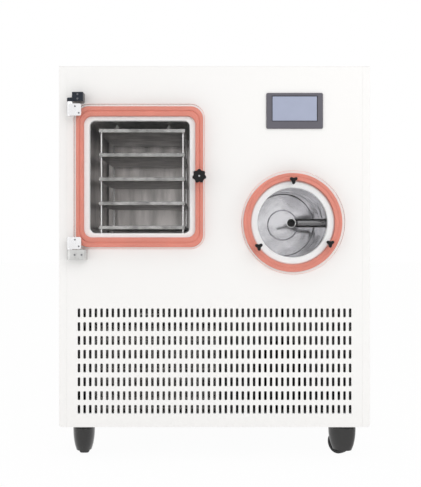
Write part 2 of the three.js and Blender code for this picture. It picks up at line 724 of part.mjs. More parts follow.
/** The welded chamber: a deep box with rounded corners and a sealing flange round its mouth. */
function chamberShell() {
  const outerWidth = OPENING_WIDTH + 2 * CHAMBER_WALL;
  const outerHeight = OPENING_HEIGHT + 2 * CHAMBER_WALL;
  const outer = outline(
    roundedRectPoints(chamber.x, chamber.z, outerWidth, outerHeight, OPENING_CORNER + CHAMBER_WALL),
  );
  const flange = outline(sealOutline(-SEAL_OVERHANG));
  const hollow = outline(
    roundedRectPoints(chamber.x, chamber.z, OPENING_WIDTH, OPENING_HEIGHT, OPENING_CORNER),
  );
  const ductHole = rodX(
    DUCT_RADIUS - DUCT_WALL, chamber.x, chamberSide + OVERRUN,
    front + DUCT_SETBACK, trap.z + DUCT_RISE, ROUND_MEDIUM,
  );
  return cut(
    join(
      extrudeY(outer, flangeFront, chamberBack + CHAMBER_WALL),
      extrudeY(flange, flangeFront, flangeBack),
    ),
    extrudeY(hollow, flangeFront - OVERRUN, chamberBack),
    ductHole,
  );
}

/** A hat-section stand that carries the chamber above the deck. */
function chamberStand() {
  const height = chamberUnderside - deckTop - 2 * SEAT;
  const base = deckTop + SEAT;
  const wall = SADDLE_SHEET;
  const half = OPENING_WIDTH / 2 - STAND_INSET;
  const foot = half + STAND_FOOT;
  const side = (sign) => [
    [foot, 0], [foot, wall], [half, wall], [half, height],
  ].map(([x, z]) => new THREE.Vector2(chamber.x + sign * x, base + z));
  const under = [
    [half - wall, 0], [half - wall, height - wall], [-half + wall, height - wall], [-half + wall, 0],
  ].map(([x, z]) => new THREE.Vector2(chamber.x + x, base + z));
  const hat = outline([...side(1), ...side(-1).reverse(), ...under.reverse()]);
  return extrudeY(hat, flangeBack + STAND_SETBACK, chamberBack - STAND_SETBACK);
}

/** The door's moulded silicone seal. */
function doorGasket() {
  const inner = roundedRectPoints(
    chamber.x, chamber.z,
    seal.width - 2 * SEAL_SIDE_BAND, seal.height - 2 * SEAL_TOP_BAND, SEAL_INNER_CORNER,
  );
  return extrudeY(outline(sealOutline(0), [inner]), sealFront, sealBack);
}

/** The clear door plate, with a blind hole for the knob's shank. */
function chamberDoor() {
  const plate = outline(
    roundedRectPoints(chamber.x, chamber.z, door.width, door.height, DOOR_CORNER),
  );
  const knobHole = rodY(
    boreRadius(STAR_SHANK_RADIUS, BORE_PLAY, ROUND_SMALL),
    doorFront - OVERRUN, doorFront + STAR_SHANK_LENGTH + SEAT, star.x, star.z, ROUND_SMALL,
  );
  return cut(extrudeY(plate, doorFront, doorBack), knobHole);
}

function doorKnob() {
  const hubFront = doorFront - SEAT - STAR_HUB_HEIGHT;
  const grip = outline(
    lobedPoints(star.x, star.z, STAR_RADIUS, STAR_WAIST, STAR_LOBES, Math.PI / 2),
  );
  return join(
    extrudeY(grip, hubFront - STAR_THICKNESS, hubFront),
    rodY(STAR_HUB_RADIUS, hubFront, doorFront - SEAT, star.x, star.z, ROUND_MEDIUM),
    rodY(STAR_SHANK_RADIUS, hubFront, doorFront + STAR_SHANK_LENGTH, star.x, star.z, ROUND_SMALL),
  );
}

/** One heated shelf: a plate with a shallow product recess and notches for the four rods. */
function shelf(index) {
  const z = bottomShelf + index * shelfPitch;
  const notch = ROD_RADIUS + SEAT;
  const notches = [];
  for (const side of [-1, 1]) {
    for (const y of shelfRodsY) {
      const inner = shelfX + side * (shelfRodX - notch);
      const outer = shelfX + side * (shelfHalf + OVERRUN);
      notches.push(block(
        Math.min(inner, outer), Math.max(inner, outer), y - notch, y + notch,
        z - OVERRUN, z + SHELF_THICKNESS + OVERRUN,
      ));
    }
  }
  return cut(
    block(shelfX - shelfHalf, shelfX + shelfHalf, shelfFront, shelfBack, z, z + SHELF_THICKNESS),
    block(
      shelfX - shelfHalf + TRAY_RIM, shelfX + shelfHalf - TRAY_RIM,
      shelfFront + TRAY_RIM, shelfBack - TRAY_RIM,
      z + SHELF_THICKNESS - TRAY_RECESS, z + SHELF_THICKNESS + OVERRUN,
    ),
    ...notches,
  );
}

/** A tie rod that stands on the chamber floor and holds the shelves by their notches. */
function shelfRod(side, y) {
  return rodZ(
    ROD_RADIUS, chamberFloor + SEAT, topShelfTop + SEAT, shelfX + side * shelfRodX, y, ROUND_SMALL,
  );
}

/** An insulating cone that hangs the top shelf from the chamber's ceiling. */
function shelfHanger(side) {
  const low = topShelfTop - TRAY_RECESS + SEAT;
  const high = chamberCeiling - SEAT;
  const profile = [
    [0, low], [HANGER_FOOT_RADIUS, low], [HANGER_NECK_RADIUS, high], [0, high],
  ];
  return turnedZ(profile, ROUND_SMALL)
    .translate(shelfX + (side * HANGER_SPREAD) / 2, shelfFront + HANGER_SETBACK, 0);
}

// ---- Hinges -------------------------------------------------------------------------------------

const pinBore = boreRadius(HINGE_PIN_RADIUS, BORE_PLAY, ROUND_SMALL);

/** The plain upper block, with an ear bored for the hinge pin. */
function hingeBlockUpper() {
  const blockLeft = hinge.x + BARREL_RADIUS - HINGE_PIN_RADIUS;
  const low = upperBlockBottom;
  const earTop = low + UPPER_EAR_HEIGHT;
  return cut(
    join(
      block(
        blockLeft, blockLeft + UPPER_BLOCK_WIDTH, front - BLOCK_REACH, front - SEAT,
        low, low + UPPER_BLOCK_HEIGHT,
      ),
      block(
        hinge.x, blockLeft + OVERRUN, hinge.y - BARREL_RADIUS, hinge.y + BARREL_RADIUS,
        low, earTop,
      ),
      rodZ(BARREL_RADIUS, low, earTop, hinge.x, hinge.y, ROUND_MEDIUM),
    ),
    rodZ(pinBore, low - OVERRUN, earTop + OVERRUN, hinge.x, hinge.y, ROUND_SMALL),
  );
}

/** The lower block: a polished foot under the door's corner, with a blind bore for the pin. */
function hingeBlockLower() {
  const low = lowerBlockTop - LOWER_BLOCK_HEIGHT;
  const farEnd = hinge.x - BARREL_RADIUS + LOWER_BLOCK_WIDTH;
  const plan = outline([
    ...arcPoints(hinge.x, hinge.y, BARREL_RADIUS, 180, 270, CORNER_STEPS),
    new THREE.Vector2(farEnd - LOWER_BLOCK_CHAMFER, hinge.y - BARREL_RADIUS),
    new THREE.Vector2(farEnd, hinge.y - BARREL_RADIUS + LOWER_BLOCK_CHAMFER),
    new THREE.Vector2(farEnd, front - SEAT),
    new THREE.Vector2(hinge.x - BARREL_RADIUS, front - SEAT),
  ]);
  return cut(
    extrudeZ(plan, low, lowerBlockTop),
    rodZ(
      pinBore, lowerBlockTop - HINGE_PIN_REACH - 2 * SEAT, lowerBlockTop + OVERRUN,
      hinge.x, hinge.y, ROUND_SMALL,
    ),
  );
}

/** A door leaf: a plate on the door's corner, a barrel beside its edge and the hinge pin. */
function hingeArm(leafLow, barrelLow, barrelHigh, pinLow, pinHigh) {
  const leafFront = doorFront - SEAT - LEAF_THICKNESS;
  const leafLeft = hinge.x - LEAF_WRAP;
  const leaf = outline(roundedRectPoints(
    leafLeft + LEAF_WIDTH / 2, leafLow + LEAF_HEIGHT / 2, LEAF_WIDTH, LEAF_HEIGHT, LEAF_CORNER,
  ));
  return join(
    extrudeY(leaf, leafFront, doorFront - SEAT),
    block(
      leafLeft, hinge.x + LEAF_WRAP, leafFront, hinge.y,
      leafLow + LEAF_CORNER, leafLow + LEAF_HEIGHT - LEAF_CORNER,
    ),
    rodZ(BARREL_RADIUS, barrelLow, barrelHigh, hinge.x, hinge.y, ROUND_MEDIUM),
    rodZ(HINGE_PIN_RADIUS, pinLow, pinHigh, hinge.x, hinge.y, ROUND_SMALL),
  );
}

function hingeArmUpper() {
  const barrelHigh = upperBlockBottom - SEAT;
  const leafLow = doorTop - LEAF_HEIGHT;
  return hingeArm(leafLow, leafLow, barrelHigh, leafLow, barrelHigh + HINGE_PIN_REACH);
}

function hingeArmLower() {
  const barrelLow = lowerBlockTop + SEAT;
  const leafHigh = doorBottom + LEAF_HEIGHT;
  return hingeArm(doorBottom, barrelLow, leafHigh, barrelLow - HINGE_PIN_REACH, leafHigh);
}

// ---- Cold trap ----------------------------------------------------------------------------------

const thumbBore = boreRadius(THUMB_SHANK_RADIUS, BORE_PLAY, ROUND_SMALL);

/** The drawn trap: a round vessel with a pressed rear boss and a sealing flange. */
function trapVessel() {
  const profile = [
    [0, trapBack - TRAP_BOSS_RISE], [TRAP_BOSS_RADIUS, trapBack - TRAP_BOSS_RISE],
    [TRAP_BOSS_RADIUS, trapBack], [TRAP_RADIUS, trapBack], [TRAP_RADIUS, flangeFront],
    [trapFlange, flangeFront], [trapFlange, flangeBack], [trapOuter, flangeBack],
    [trapOuter, trapBack + TRAP_WALL], [0, trapBack + TRAP_WALL],
  ];
  const ductHole = rodX(
    DUCT_RADIUS - DUCT_WALL, trap.x - trapOuter - OVERRUN, trap.x,
    front + DUCT_SETBACK, trap.z + DUCT_RISE, ROUND_MEDIUM,
  );
  const suctionHole = rodX(
    boreRadius(SUCTION_RADIUS, SEAT, ROUND_MEDIUM), trap.x, trap.x + trapOuter + OVERRUN,
    front + SUCTION_MOUTH_SETBACK + SUCTION_TURN, trap.z, ROUND_MEDIUM,
  );
  const drainHole = rodZ(
    DRAIN_RADIUS - DRAIN_WALL, trap.z - trapOuter - OVERRUN, trap.z, trap.x, drainY, ROUND_SMALL,
  );
  const thumbHoles = thumbPlaces().map(({ x, z }) => rodY(
    thumbBore, flangeFront - OVERRUN, flangeFront + THUMB_SHANK_GRIP + SEAT, x, z, ROUND_SMALL,
  ));
  return cut(
    turnedY(profile, ROUND_LARGE).translate(trap.x, 0, trap.z),
    ductHole, suctionHole, drainHole, ...thumbHoles,
  );
}

function thumbPlaces() {
  return THUMB_ANGLES.map((degrees) => {
    const angle = THREE.MathUtils.degToRad(degrees);
    return {
      x: trap.x + thumbCircle * Math.cos(angle),
      z: trap.z + thumbCircle * Math.sin(angle),
      angle,
    };
  });
}

/** The trap's silicone seal, notched on its inner edge for the three shanks. */
function trapGasket() {
  const ring = extrudeY(
    outline(
      circlePoints(trap.x, trap.z, trapSeal, ROUND_LARGE),
      [circlePoints(trap.x, trap.z, trapSeal - TRAP_SEAL_BAND, ROUND_LARGE)],
    ),
    sealFront, sealBack,
  );
  const notches = thumbPlaces().map(({ x, z }) => rodY(
    thumbBore, sealFront - OVERRUN, sealBack + OVERRUN, x, z, ROUND_SMALL,
  ));
  return cut(ring, ...notches);
}

function trapCover() {
  const holes = thumbPlaces().map(({ x, z }) => circlePoints(x, z, thumbBore, ROUND_SMALL));
  const disc = outline(circlePoints(trap.x, trap.z, coverRadius, ROUND_LARGE), holes);
  return extrudeY(disc, coverFront, doorBack);
}

/** A three-lobed thumb screw that holds the cover to the flange. */
function trapKnob({ x, z, angle }) {
  const hubFront = coverFront - SEAT - THUMB_HUB_HEIGHT;
  const grip = outline(
    lobedPoints(x, z, THUMB_RADIUS, THUMB_WAIST, THUMB_LOBES, angle + Math.PI / THUMB_LOBES),
  );
  return join(
    extrudeY(grip, hubFront - THUMB_THICKNESS, hubFront),
    rodY(THUMB_HUB_RADIUS, hubFront, coverFront - SEAT, x, z, ROUND_SMALL),
    rodY(THUMB_SHANK_RADIUS, hubFront, flangeFront + THUMB_SHANK_GRIP, x, z, ROUND_SMALL),
  );
}

/** A welded cradle that carries the trap on the deck. */
function trapSaddle() {
  const low = deckTop + SEAT;
  const start = flangeBack + SADDLE_SETBACK;
  const end = start + SADDLE_LENGTH;
  const half = SADDLE_WIDTH / 2;
  const rib = (y) => block(trap.x - half, trap.x + half, y, y + SADDLE_SHEET, low, low + SADDLE_HEIGHT);
  return cut(
    join(
      block(trap.x - half, trap.x + half, start, end, low, low + SADDLE_SHEET),
      rib(start),
      rib(end - SADDLE_SHEET),
    ),
    rodY(trapOuter + SEAT, start - OVERRUN, end + OVERRUN, trap.x, trap.z, ROUND_LARGE),
    rodZ(
      boreRadius(DRAIN_RADIUS, SEAT, ROUND_SMALL), low - OVERRUN, low + SADDLE_SHEET + OVERRUN,
      trap.x, drainY, ROUND_SMALL,
    ),
  );
}

/** The vapour duct from the chamber's side wall to the trap, saddle-cut to the vessel. */
function vapourDuct() {
  const y = front + DUCT_SETBACK;
  const z = trap.z + DUCT_RISE;
  return cut(
    rodX(DUCT_RADIUS, chamberSide + SEAT, trap.x, y, z, ROUND_MEDIUM),
    rodX(DUCT_RADIUS - DUCT_WALL, chamberSide - OVERRUN, trap.x + OVERRUN, y, z, ROUND_MEDIUM),
    rodY(trapOuter + SEAT, y - 2 * DUCT_RADIUS, y + 2 * DUCT_RADIUS, trap.x, trap.z, ROUND_LARGE),
  );
}

/** The suction pipe: open mouth on the trap's axis, out through its side, then to the rear. */
function suctionPipe() {
  const mouthY = front + SUCTION_MOUTH_SETBACK;
  const crossY = mouthY + SUCTION_TURN;
  const corners = [
    new THREE.Vector3(trap.x, mouthY, trap.z),
    new THREE.Vector3(trap.x, crossY, trap.z),
    new THREE.Vector3(suctionX, crossY, trap.z),
    new THREE.Vector3(suctionX, back - SHEET - SEAT, trap.z),
  ];
  return bentPipe(corners, SUCTION_BEND, SUCTION_RADIUS, SUCTION_WALL, ROUND_SMALL);
}

// ---- Touch screen -------------------------------------------------------------------------------

function screenHousing() {
  const bezelBack = front - SEAT;
  const bezelFront = bezelBack - BEZEL_PROUD;
  const bezel = outline(
    roundedRectPoints(screen.x, screen.z, BEZEL_WIDTH, BEZEL_HEIGHT, BEZEL_CORNER),
  );
  const body = outline(rectPoints(screen.x, screen.z, SCREEN_BODY_WIDTH, SCREEN_BODY_HEIGHT));
  const recess = outline(rectPoints(
    screen.x, screen.z + GLASS_RISE, GLASS_WIDTH + 2 * SEAT, GLASS_HEIGHT + 2 * SEAT,
  ));
  return cut(
    join(
      extrudeY(bezel, bezelFront, bezelBack),
      extrudeY(body, bezelBack - OVERRUN, bezelBack + SCREEN_BODY_DEPTH),
    ),
    extrudeY(recess, bezelFront - OVERRUN, bezelFront + GLASS_SUNK + GLASS_THICKNESS + SEAT),
  );
}

function screenGlass() {
  const glassFront = front - SEAT - BEZEL_PROUD + GLASS_SUNK;
  const glass = outline(rectPoints(screen.x, screen.z + GLASS_RISE, GLASS_WIDTH, GLASS_HEIGHT));
  return extrudeY(glass, glassFront, glassFront + GLASS_THICKNESS);
}

// ---- Casters, each about its own swivel axis with the floor at zero -----------------------------

/** The bolted plate and the swivel race under it. */
function casterPlate() {
  const half = CASTER_PLATE / 2;
  return cut(
    join(
      block(-half, half, -half, half, plateBottom, trayRest),
      rodZ(RACE_RADIUS, plateBottom - RACE_HEIGHT, plateBottom + OVERRUN, 0, 0, ROUND_MEDIUM),
    ),
    rodZ(
      boreRadius(STEM_RADIUS, BORE_PLAY, ROUND_SMALL), plateBottom - RACE_HEIGHT - OVERRUN,
      plateBottom + STEM_SEAT, 0, 0, ROUND_SMALL,
    ),
  );
}

/** The hooded yoke: an egg-shaped moulding, open underneath, with its stem and axle. */
function casterYoke() {
  const wall = HOOD_PROFILE.map(([beyond, depth]) => [WHEEL_RADIUS + beyond, hoodTop - depth]);
  const hoodBottom = wall[0][1];
  const shell = turnedZ([[0, hoodBottom], ...wall, [0, hoodTop]], ROUND_MEDIUM)
    .scale(HOOD_SCALE_X, 1, 1).translate(0, HOOD_SHIFT, 0);
  const pocketHalf = WHEEL_WIDTH / 2 + WHEEL_SIDE_GAP;
  const pocketRadius = WHEEL_RADIUS + WHEEL_GAP;
  const pocket = rodX(
    pocketRadius, -pocketHalf, pocketHalf, WHEEL_TRAIL, WHEEL_RADIUS, ROUND_MEDIUM,
  );
  const exit = block(
    -pocketHalf, pocketHalf, WHEEL_TRAIL - pocketRadius + OVERRUN, WHEEL_TRAIL + 2 * WHEEL_RADIUS,
    hoodBottom - OVERRUN, WHEEL_RADIUS,
  );
  return join(
    cut(shell, pocket, exit),
    rodZ(STEM_RADIUS, hoodTop - STEM_SEAT, plateBottom + OVERRUN, 0, 0, ROUND_SMALL),
    rodX(
      AXLE_RADIUS, -pocketHalf - AXLE_SEAT, pocketHalf + AXLE_SEAT,
      WHEEL_TRAIL, WHEEL_RADIUS, ROUND_SMALL,
    ),
  );
}

/** The solid wheel with its tread's edges chamfered, on the yoke's axle. */
function casterWheel() {
  const half = WHEEL_WIDTH / 2;
  const bore = boreRadius(AXLE_RADIUS, BORE_PLAY, ROUND_WHEEL);
  const shoulder = WHEEL_RADIUS - WHEEL_CHAMFER / 2;
  const profile = [
    [bore, -half], [shoulder, -half], [WHEEL_RADIUS, -half + WHEEL_CHAMFER],
    [WHEEL_RADIUS, half - WHEEL_CHAMFER], [shoulder, half], [bore, half], [bore, -half],
  ];
  return turnedX(profile, ROUND_WHEEL).translate(0, WHEEL_TRAIL, WHEEL_RADIUS);
}

// ---- Machinery ----------------------------------------------------------------------------------

/** The finned condenser behind the vent panel. */
function condenserCoil() {
  const pitch = (CONDENSER_WIDTH - FIN_SHEET) / (FIN_COUNT - 1);
  const start = CONDENSER_X - CONDENSER_WIDTH / 2;
  const coreFront = condenserBack - CONDENSER_CORE;
  const comb = [new THREE.Vector2(start + CONDENSER_WIDTH, condenserBack)];
  comb.push(new THREE.Vector2(start, condenserBack));
  for (let fin = 0; fin < FIN_COUNT; fin += 1) {
    const x = start + fin * pitch;
    if (fin > 0) comb.push(new THREE.Vector2(x, coreFront));
    comb.push(new THREE.Vector2(x, condenserFront));
    comb.push(new THREE.Vector2(x + FIN_SHEET, condenserFront));
    if (fin < FIN_COUNT - 1) comb.push(new THREE.Vector2(x + FIN_SHEET, coreFront));
  }
  const low = trayFloor + SEAT;
  return extrudeZ(outline(comb), low, low + CONDENSER_HEIGHT);
}

/** The fan's shroud: a plate with a round throat, and struts that carry the motor. */
function fanShroud() {
  const ring = DUCT_RING_RADIUS + SHROUD_SHEET;
  const plate = outline(
    rectPoints(CONDENSER_X, fanZ, CONDENSER_WIDTH, CONDENSER_HEIGHT),
    [circlePoints(CONDENSER_X, fanZ, DUCT_RING_RADIUS, ROUND_LARGE)],
  );
  const throat = outline(
    circlePoints(CONDENSER_X, fanZ, ring, ROUND_LARGE),
    [circlePoints(CONDENSER_X, fanZ, DUCT_RING_RADIUS, ROUND_LARGE)],
  );
  const strutBack = motorFront + STRUT_WIDTH;
  const struts = [0, Math.PI / 2].map((turn) => block(
    -ring, ring, motorFront, strutBack, -STRUT_WIDTH / 2, STRUT_WIDTH / 2,
  ).rotateY(turn).translate(CONDENSER_X, 0, fanZ));
  return join(
    extrudeY(plate, shroudFront, shroudFront + SHROUD_SHEET),
    extrudeY(throat, shroudFront, strutBack),
    ...struts,
    rodY(MOTOR_RADIUS, motorFront, motorFront + MOTOR_LENGTH, CONDENSER_X, fanZ, ROUND_MEDIUM),
    rodY(
      FAN_SHAFT_RADIUS, motorFront - FAN_HUB_LENGTH, motorFront + OVERRUN,
      CONDENSER_X, fanZ, ROUND_SMALL,
    ),
  );
}

/** The fan: five pitched blades on a hub with a blind bore for the motor's shaft. */
function fanRotor() {
  const hubBack = motorFront - FAN_HUB_GAP;
  const hubFront = hubBack - FAN_HUB_LENGTH;
  const { rootSunk, rootHalf, bellyHalf, tipHalf, tipSlope } = FAN_BLADE;
  const root = FAN_HUB_RADIUS - rootSunk;
  const tip = DUCT_RING_RADIUS - FAN_TIP_GAP - FAN_TIP_RELIEF;
  const belly = tip - tipSlope;
  const bladeOutline = outline([
    [root, -rootHalf], [belly, -bellyHalf], [tip, -tipHalf],
    [tip, tipHalf], [belly, bellyHalf], [root, rootHalf],
  ].map(([x, y]) => new THREE.Vector2(x, y)));
  const halfSheet = FAN_BLADE_SHEET / 2;
  const blades = Array.from({ length: FAN_BLADES }, (_, i) => extrudeZ(
    bladeOutline, -halfSheet, halfSheet,
  )
    .rotateX(Math.PI / 2 - THREE.MathUtils.degToRad(FAN_BLADE_PITCH))
    .rotateY((2 * Math.PI * i) / FAN_BLADES)
    .translate(CONDENSER_X, (hubFront + hubBack) / 2 - FAN_BLADE_LEAD, fanZ));
  const rotor = join(
    rodY(FAN_HUB_RADIUS, hubFront, hubBack, CONDENSER_X, fanZ, ROUND_MEDIUM),
    ...blades,
  );
  const bore = rodY(
    boreRadius(FAN_SHAFT_RADIUS, BORE_PLAY, ROUND_SMALL),
    motorFront - FAN_HUB_LENGTH - SEAT, hubBack + OVERRUN, CONDENSER_X, fanZ, ROUND_SMALL,
  );
  return cut(rotor, bore);
}

/** The hermetic compressor: a domed pot with a welded seam, on a plate with four grommets. */
function compressor() {
  const low = trayFloor + SEAT;
  const floor = low + COMPRESSOR_FOOT;
  const crown = low + COMPRESSOR_HEIGHT;
  const r = COMPRESSOR_RADIUS;
  const { lift, width, proud, chamfer } = COMPRESSOR_BEAD;
  const bead = low + lift;
  const pot = turnedZ([
    [0, floor - OVERRUN], [r - COMPRESSOR_HEEL.inset, floor - OVERRUN],
    [r, floor + COMPRESSOR_HEEL.rise], [r, bead], [r + proud, bead + chamfer],
    [r + proud, bead + width - chamfer], [r, bead + width],
    ...COMPRESSOR_CROWN.map(([inset, depth]) => [r - inset, crown - depth]), [0, crown],
  ], ROUND_MEDIUM).translate(COMPRESSOR_X, COMPRESSOR_Y, 0);
  const plateHalf = r + COMPRESSOR_PLATE_MARGIN;
  const plate = block(
    COMPRESSOR_X - plateHalf, COMPRESSOR_X + plateHalf,
    COMPRESSOR_Y - COMPRESSOR_PLATE_DEPTH / 2, COMPRESSOR_Y + COMPRESSOR_PLATE_DEPTH / 2,
    floor - COMPRESSOR_PLATE_SHEET, floor,
  );
  const grommets = [-1, 1].flatMap((u) => [-1, 1].map((v) => rodZ(
    COMPRESSOR_GROMMET_RADIUS, low, floor + COMPRESSOR_GROMMET_RISE,
    COMPRESSOR_X + u * r, COMPRESSOR_Y + (v * COMPRESSOR_GROMMET_SPREAD) / 2, ROUND_SMALL,
  )));
  return join(pot, plate, ...grommets);
}

/** The electrical box on the deck behind the trap, with a stepped lid. */
function controlBox() {
  const low = deckTop + SEAT;
  const rear = innerY - CONTROL_BOX_FROM_REAR;
  const { width, depth, height, lid, lidInset } = CONTROL_BOX;
  const lidHalf = width / 2 - lidInset;
  return join(
    block(trap.x - width / 2, trap.x + width / 2, rear - depth, rear, low, low + height),
    block(
      trap.x - lidHalf, trap.x + lidHalf, rear - depth - lid, rear - depth + OVERRUN,
      low + lidInset, low + height - lidInset,
    ),
  );
}

// ---- Rear connections ---------------------------------------------------------------------------

/** The vacuum port: a sleeve over the suction pipe, a collar on the panel and a clamp flange. */
function vacuumPort() {
  const bore = SUCTION_RADIUS - SUCTION_WALL;
  const socket = boreRadius(SUCTION_RADIUS, SEAT, ROUND_MEDIUM);
  const sleeve = SUCTION_RADIUS + SUCTION_WALL + SEAT / 2;
  const pipeEnd = back - SHEET;
  const collar = back + PORT_COLLAR_SHEET;
  const end = back + PORT_REACH;
  const rim = end - PORT_FLANGE_RIM;
  return turnedY([
    [socket, pipeEnd - PORT_SLEEVE], [sleeve, pipeEnd - PORT_SLEEVE], [sleeve, back + SEAT],
    [PORT_COLLAR_RADIUS, back + SEAT], [PORT_COLLAR_RADIUS, collar], [sleeve, collar],
    [sleeve, rim - PORT_FLANGE_RIM], [PORT_FLANGE_RADIUS, rim], [PORT_FLANGE_RADIUS, end], [bore, end],
    [bore, pipeEnd], [socket, pipeEnd], [socket, pipeEnd - PORT_SLEEVE],
  ], ROUND_MEDIUM).translate(suctionX, 0, trap.z);
}

/** The drain: a pipe from the trap's underside to a ball valve outside the rear panel. */
function drainValve() {
  const pipe = bentPipe([
    new THREE.Vector3(trap.x, drainY, trap.z - trapOuter - SEAT),
    new THREE.Vector3(trap.x, drainY, drainRunZ),
    new THREE.Vector3(trap.x, drainEnd, drainRunZ),
  ], DRAIN_BEND, DRAIN_RADIUS, DRAIN_WALL, ROUND_SMALL);
  const inside = DRAIN_RADIUS - DRAIN_WALL / 2;
  const shoulder = VALVE_BODY_RADIUS - VALVE_CHAMFER;
  const near = back + VALVE_END_GAP;
  const far = drainEnd - VALVE_END_GAP;
  const body = turnedY([
    [inside, near], [shoulder, near], [VALVE_BODY_RADIUS, near + VALVE_TAPER],
    [VALVE_BODY_RADIUS, far - VALVE_TAPER], [shoulder, far], [inside, far], [inside, near],
  ], ROUND_SMALL).translate(trap.x, 0, drainRunZ);
  const stem = rodZ(
    VALVE_STEM_RADIUS, drainRunZ + DRAIN_RADIUS, drainRunZ + VALVE_BODY_RADIUS + VALVE_STEM_LENGTH,
    trap.x, valveCentreY, ROUND_SMALL,
  );
  return join(pipe, body, stem);
}

/** The valve's lever: a cranked strip on the stem, along the pipe when the valve is open. */
function drainLever() {
  const low = drainRunZ + VALVE_BODY_RADIUS + LEVER_RISE;
  const half = LEVER_WIDTH / 2;
  const strip = extrudeZ(outline([
    ...arcPoints(trap.x, valveCentreY, half, 90, 270, CORNER_STEPS),
    ...arcPoints(trap.x + LEVER_LENGTH - half, valveCentreY, half, -90, 90, CORNER_STEPS),
  ]), low, low + LEVER_SHEET);
  return cut(
    strip,
    rodZ(
      boreRadius(VALVE_STEM_RADIUS, BORE_PLAY, ROUND_SMALL), low - OVERRUN, low + LEVER_SHEET + OVERRUN,
      trap.x, valveCentreY, ROUND_SMALL,
    ),
  );
}

/** The mains cable gland on the rear panel, with an empty cable bore. */
function cableGland() {
  const nutBack = back - SHEET - SEAT;
  const nutFront = nutBack - GLAND_NUT;
  const end = back + GLAND_REACH;
  return turnedY([
    [GLAND_BORE, nutFront], [GLAND_RADIUS, nutFront], [GLAND_RADIUS, nutBack],
    [GLAND_NECK_RADIUS, nutBack], [GLAND_NECK_RADIUS, back + SEAT], [GLAND_RADIUS, back + SEAT],
    [GLAND_RADIUS, back + GLAND_NUT], [GLAND_NECK_RADIUS, end], [GLAND_BORE, end], [GLAND_BORE, nutFront],
  ], ROUND_SMALL).translate(glandX, 0, glandZ);
}

// ---- The machine --------------------------------------------------------------------------------

function part(name, geometry, finish) {
  const mesh = new THREE.Mesh(geometry, new THREE.MeshStandardMaterial(FINISHES[finish]));
  mesh.name = name;
  return mesh;
}

function cabinetGroup() {
  return new THREE.Group().add(
    part('base_tray', baseTray(), 'galvanised'),
    part('left_side_panel', sidePanel(-1), 'white'),
    part('right_side_panel', sidePanel(1), 'white'),
    part('top_panel', topPanel(), 'white'),
    part('rear_panel', rearPanel(), 'white'),
    part('front_fascia', frontFascia(), 'white'),
    part('vent_panel', ventPanel(), 'white'),
    part('deck_plate', deckPlate(), 'galvanised'),
  );
}

function chamberGroup() {
  const group = new THREE.Group().add(
    part('chamber_shell', chamberShell(), 'stainless'),
    part('chamber_stand', chamberStand(), 'galvanised'),
    part('door_gasket', doorGasket(), 'silicone'),
    part('chamber_door', chamberDoor(), 'acrylic'),
    part('door_knob', doorKnob(), 'black'),
    part('hinge_block_upper', hingeBlockUpper(), 'black'),
    part('hinge_block_lower', hingeBlockLower(), 'chrome'),
    part('hinge_arm_upper', hingeArmUpper(), 'chrome'),
    part('hinge_arm_lower', hingeArmLower(), 'chrome'),
  );
  for (let index = 0; index < SHELF_COUNT; index += 1) {
    group.add(part(`shelf_${index + 1}`, shelf(index), 'stainless'));
  }
  for (const [column, side] of [['left', -1], ['right', 1]]) {
    for (const [row, y] of [['front', shelfRodsY[0]], ['rear', shelfRodsY[1]]]) {
      group.add(part(`shelf_rod_${row}_${column}`, shelfRod(side, y), 'chrome'));
    }
    group.add(part(`shelf_hanger_${column}`, shelfHanger(side), 'ptfe'));
  }
  return group;
}

function trapGroup() {
  const group = new THREE.Group().add(
    part('trap_vessel', trapVessel(), 'stainless'),
    part('trap_saddle', trapSaddle(), 'galvanised'),
    part('trap_gasket', trapGasket(), 'silicone'),
    part('trap_cover', trapCover(), 'acrylic'),
    part('vapour_duct', vapourDuct(), 'stainless'),
    part('suction_pipe', suctionPipe(), 'chrome'),
  );
  thumbPlaces().forEach((place, index) => {
    group.add(part(`trap_knob_${index + 1}`, trapKnob(place), 'black'));
  });
  return group;
}

function screenGroup() {
  return new THREE.Group().add(
    part('screen_housing', screenHousing(), 'bezel'),
    part('screen_glass', screenGlass(), 'display'),
  );
}

function casterGroup(corner, x, y) {
  const group = new THREE.Group();
  const swivel = new THREE.Group();
  swivel.rotation.z = THREE.MathUtils.degToRad(CASTER_TURN[corner]);
  swivel.add(
    part(`caster_yoke_${corner}`, casterYoke(), 'black'),
    part(`caster_wheel_${corner}`, casterWheel(), 'rubber'),
  );
  group.add(part(`caster_plate_${corner}`, casterPlate(), 'black'), swivel);
  group.position.set(x, y, 0);
  return group;
}

function castersGroup() {
  const x = right - CASTER_INSET_X;
  const y = back - CASTER_INSET_Y;
  return new THREE.Group().add(
    casterGroup('front_left', -x, -y),
    casterGroup('front_right', x, -y),
    casterGroup('rear_left', -x, y),
    casterGroup('rear_right', x, y),
  );
}

function machineryGroup() {
  return new THREE.Group().add(
    part('condenser_coil', condenserCoil(), 'aluminium'),
    part('fan_shroud', fanShroud(), 'grey'),
    part('fan_rotor', fanRotor(), 'enamel'),
    part('compressor', compressor(), 'enamel'),
    part('control_box', controlBox(), 'grey'),
    part('vacuum_port', vacuumPort(), 'chrome'),
    part('drain_valve_body', drainValve(), 'brass'),
    part('drain_valve_lever', drainLever(), 'red'),
    part('cable_gland', cableGland(), 'black'),
  );
}

const freezeDryer = new THREE.Group().add(
  cabinetGroup(), chamberGroup(), trapGroup(), screenGroup(), castersGroup(), machineryGroup(),
);
const extent = new THREE.Box3().setFromObject(freezeDryer, true);
freezeDryer.position.set(-(extent.min.x + extent.max.x) / 2, -(extent.min.y + extent.max.y) / 2, 0);

export default freezeDryer;
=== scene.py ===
"""Fine visual model of a floor-standing freeze dryer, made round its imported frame.

The frame gives every place. Each sub-assembly is a class: its fields hold the sizes, its
methods make the meshes and hang them on the bodies of the frame. Lengths are metres.
"""

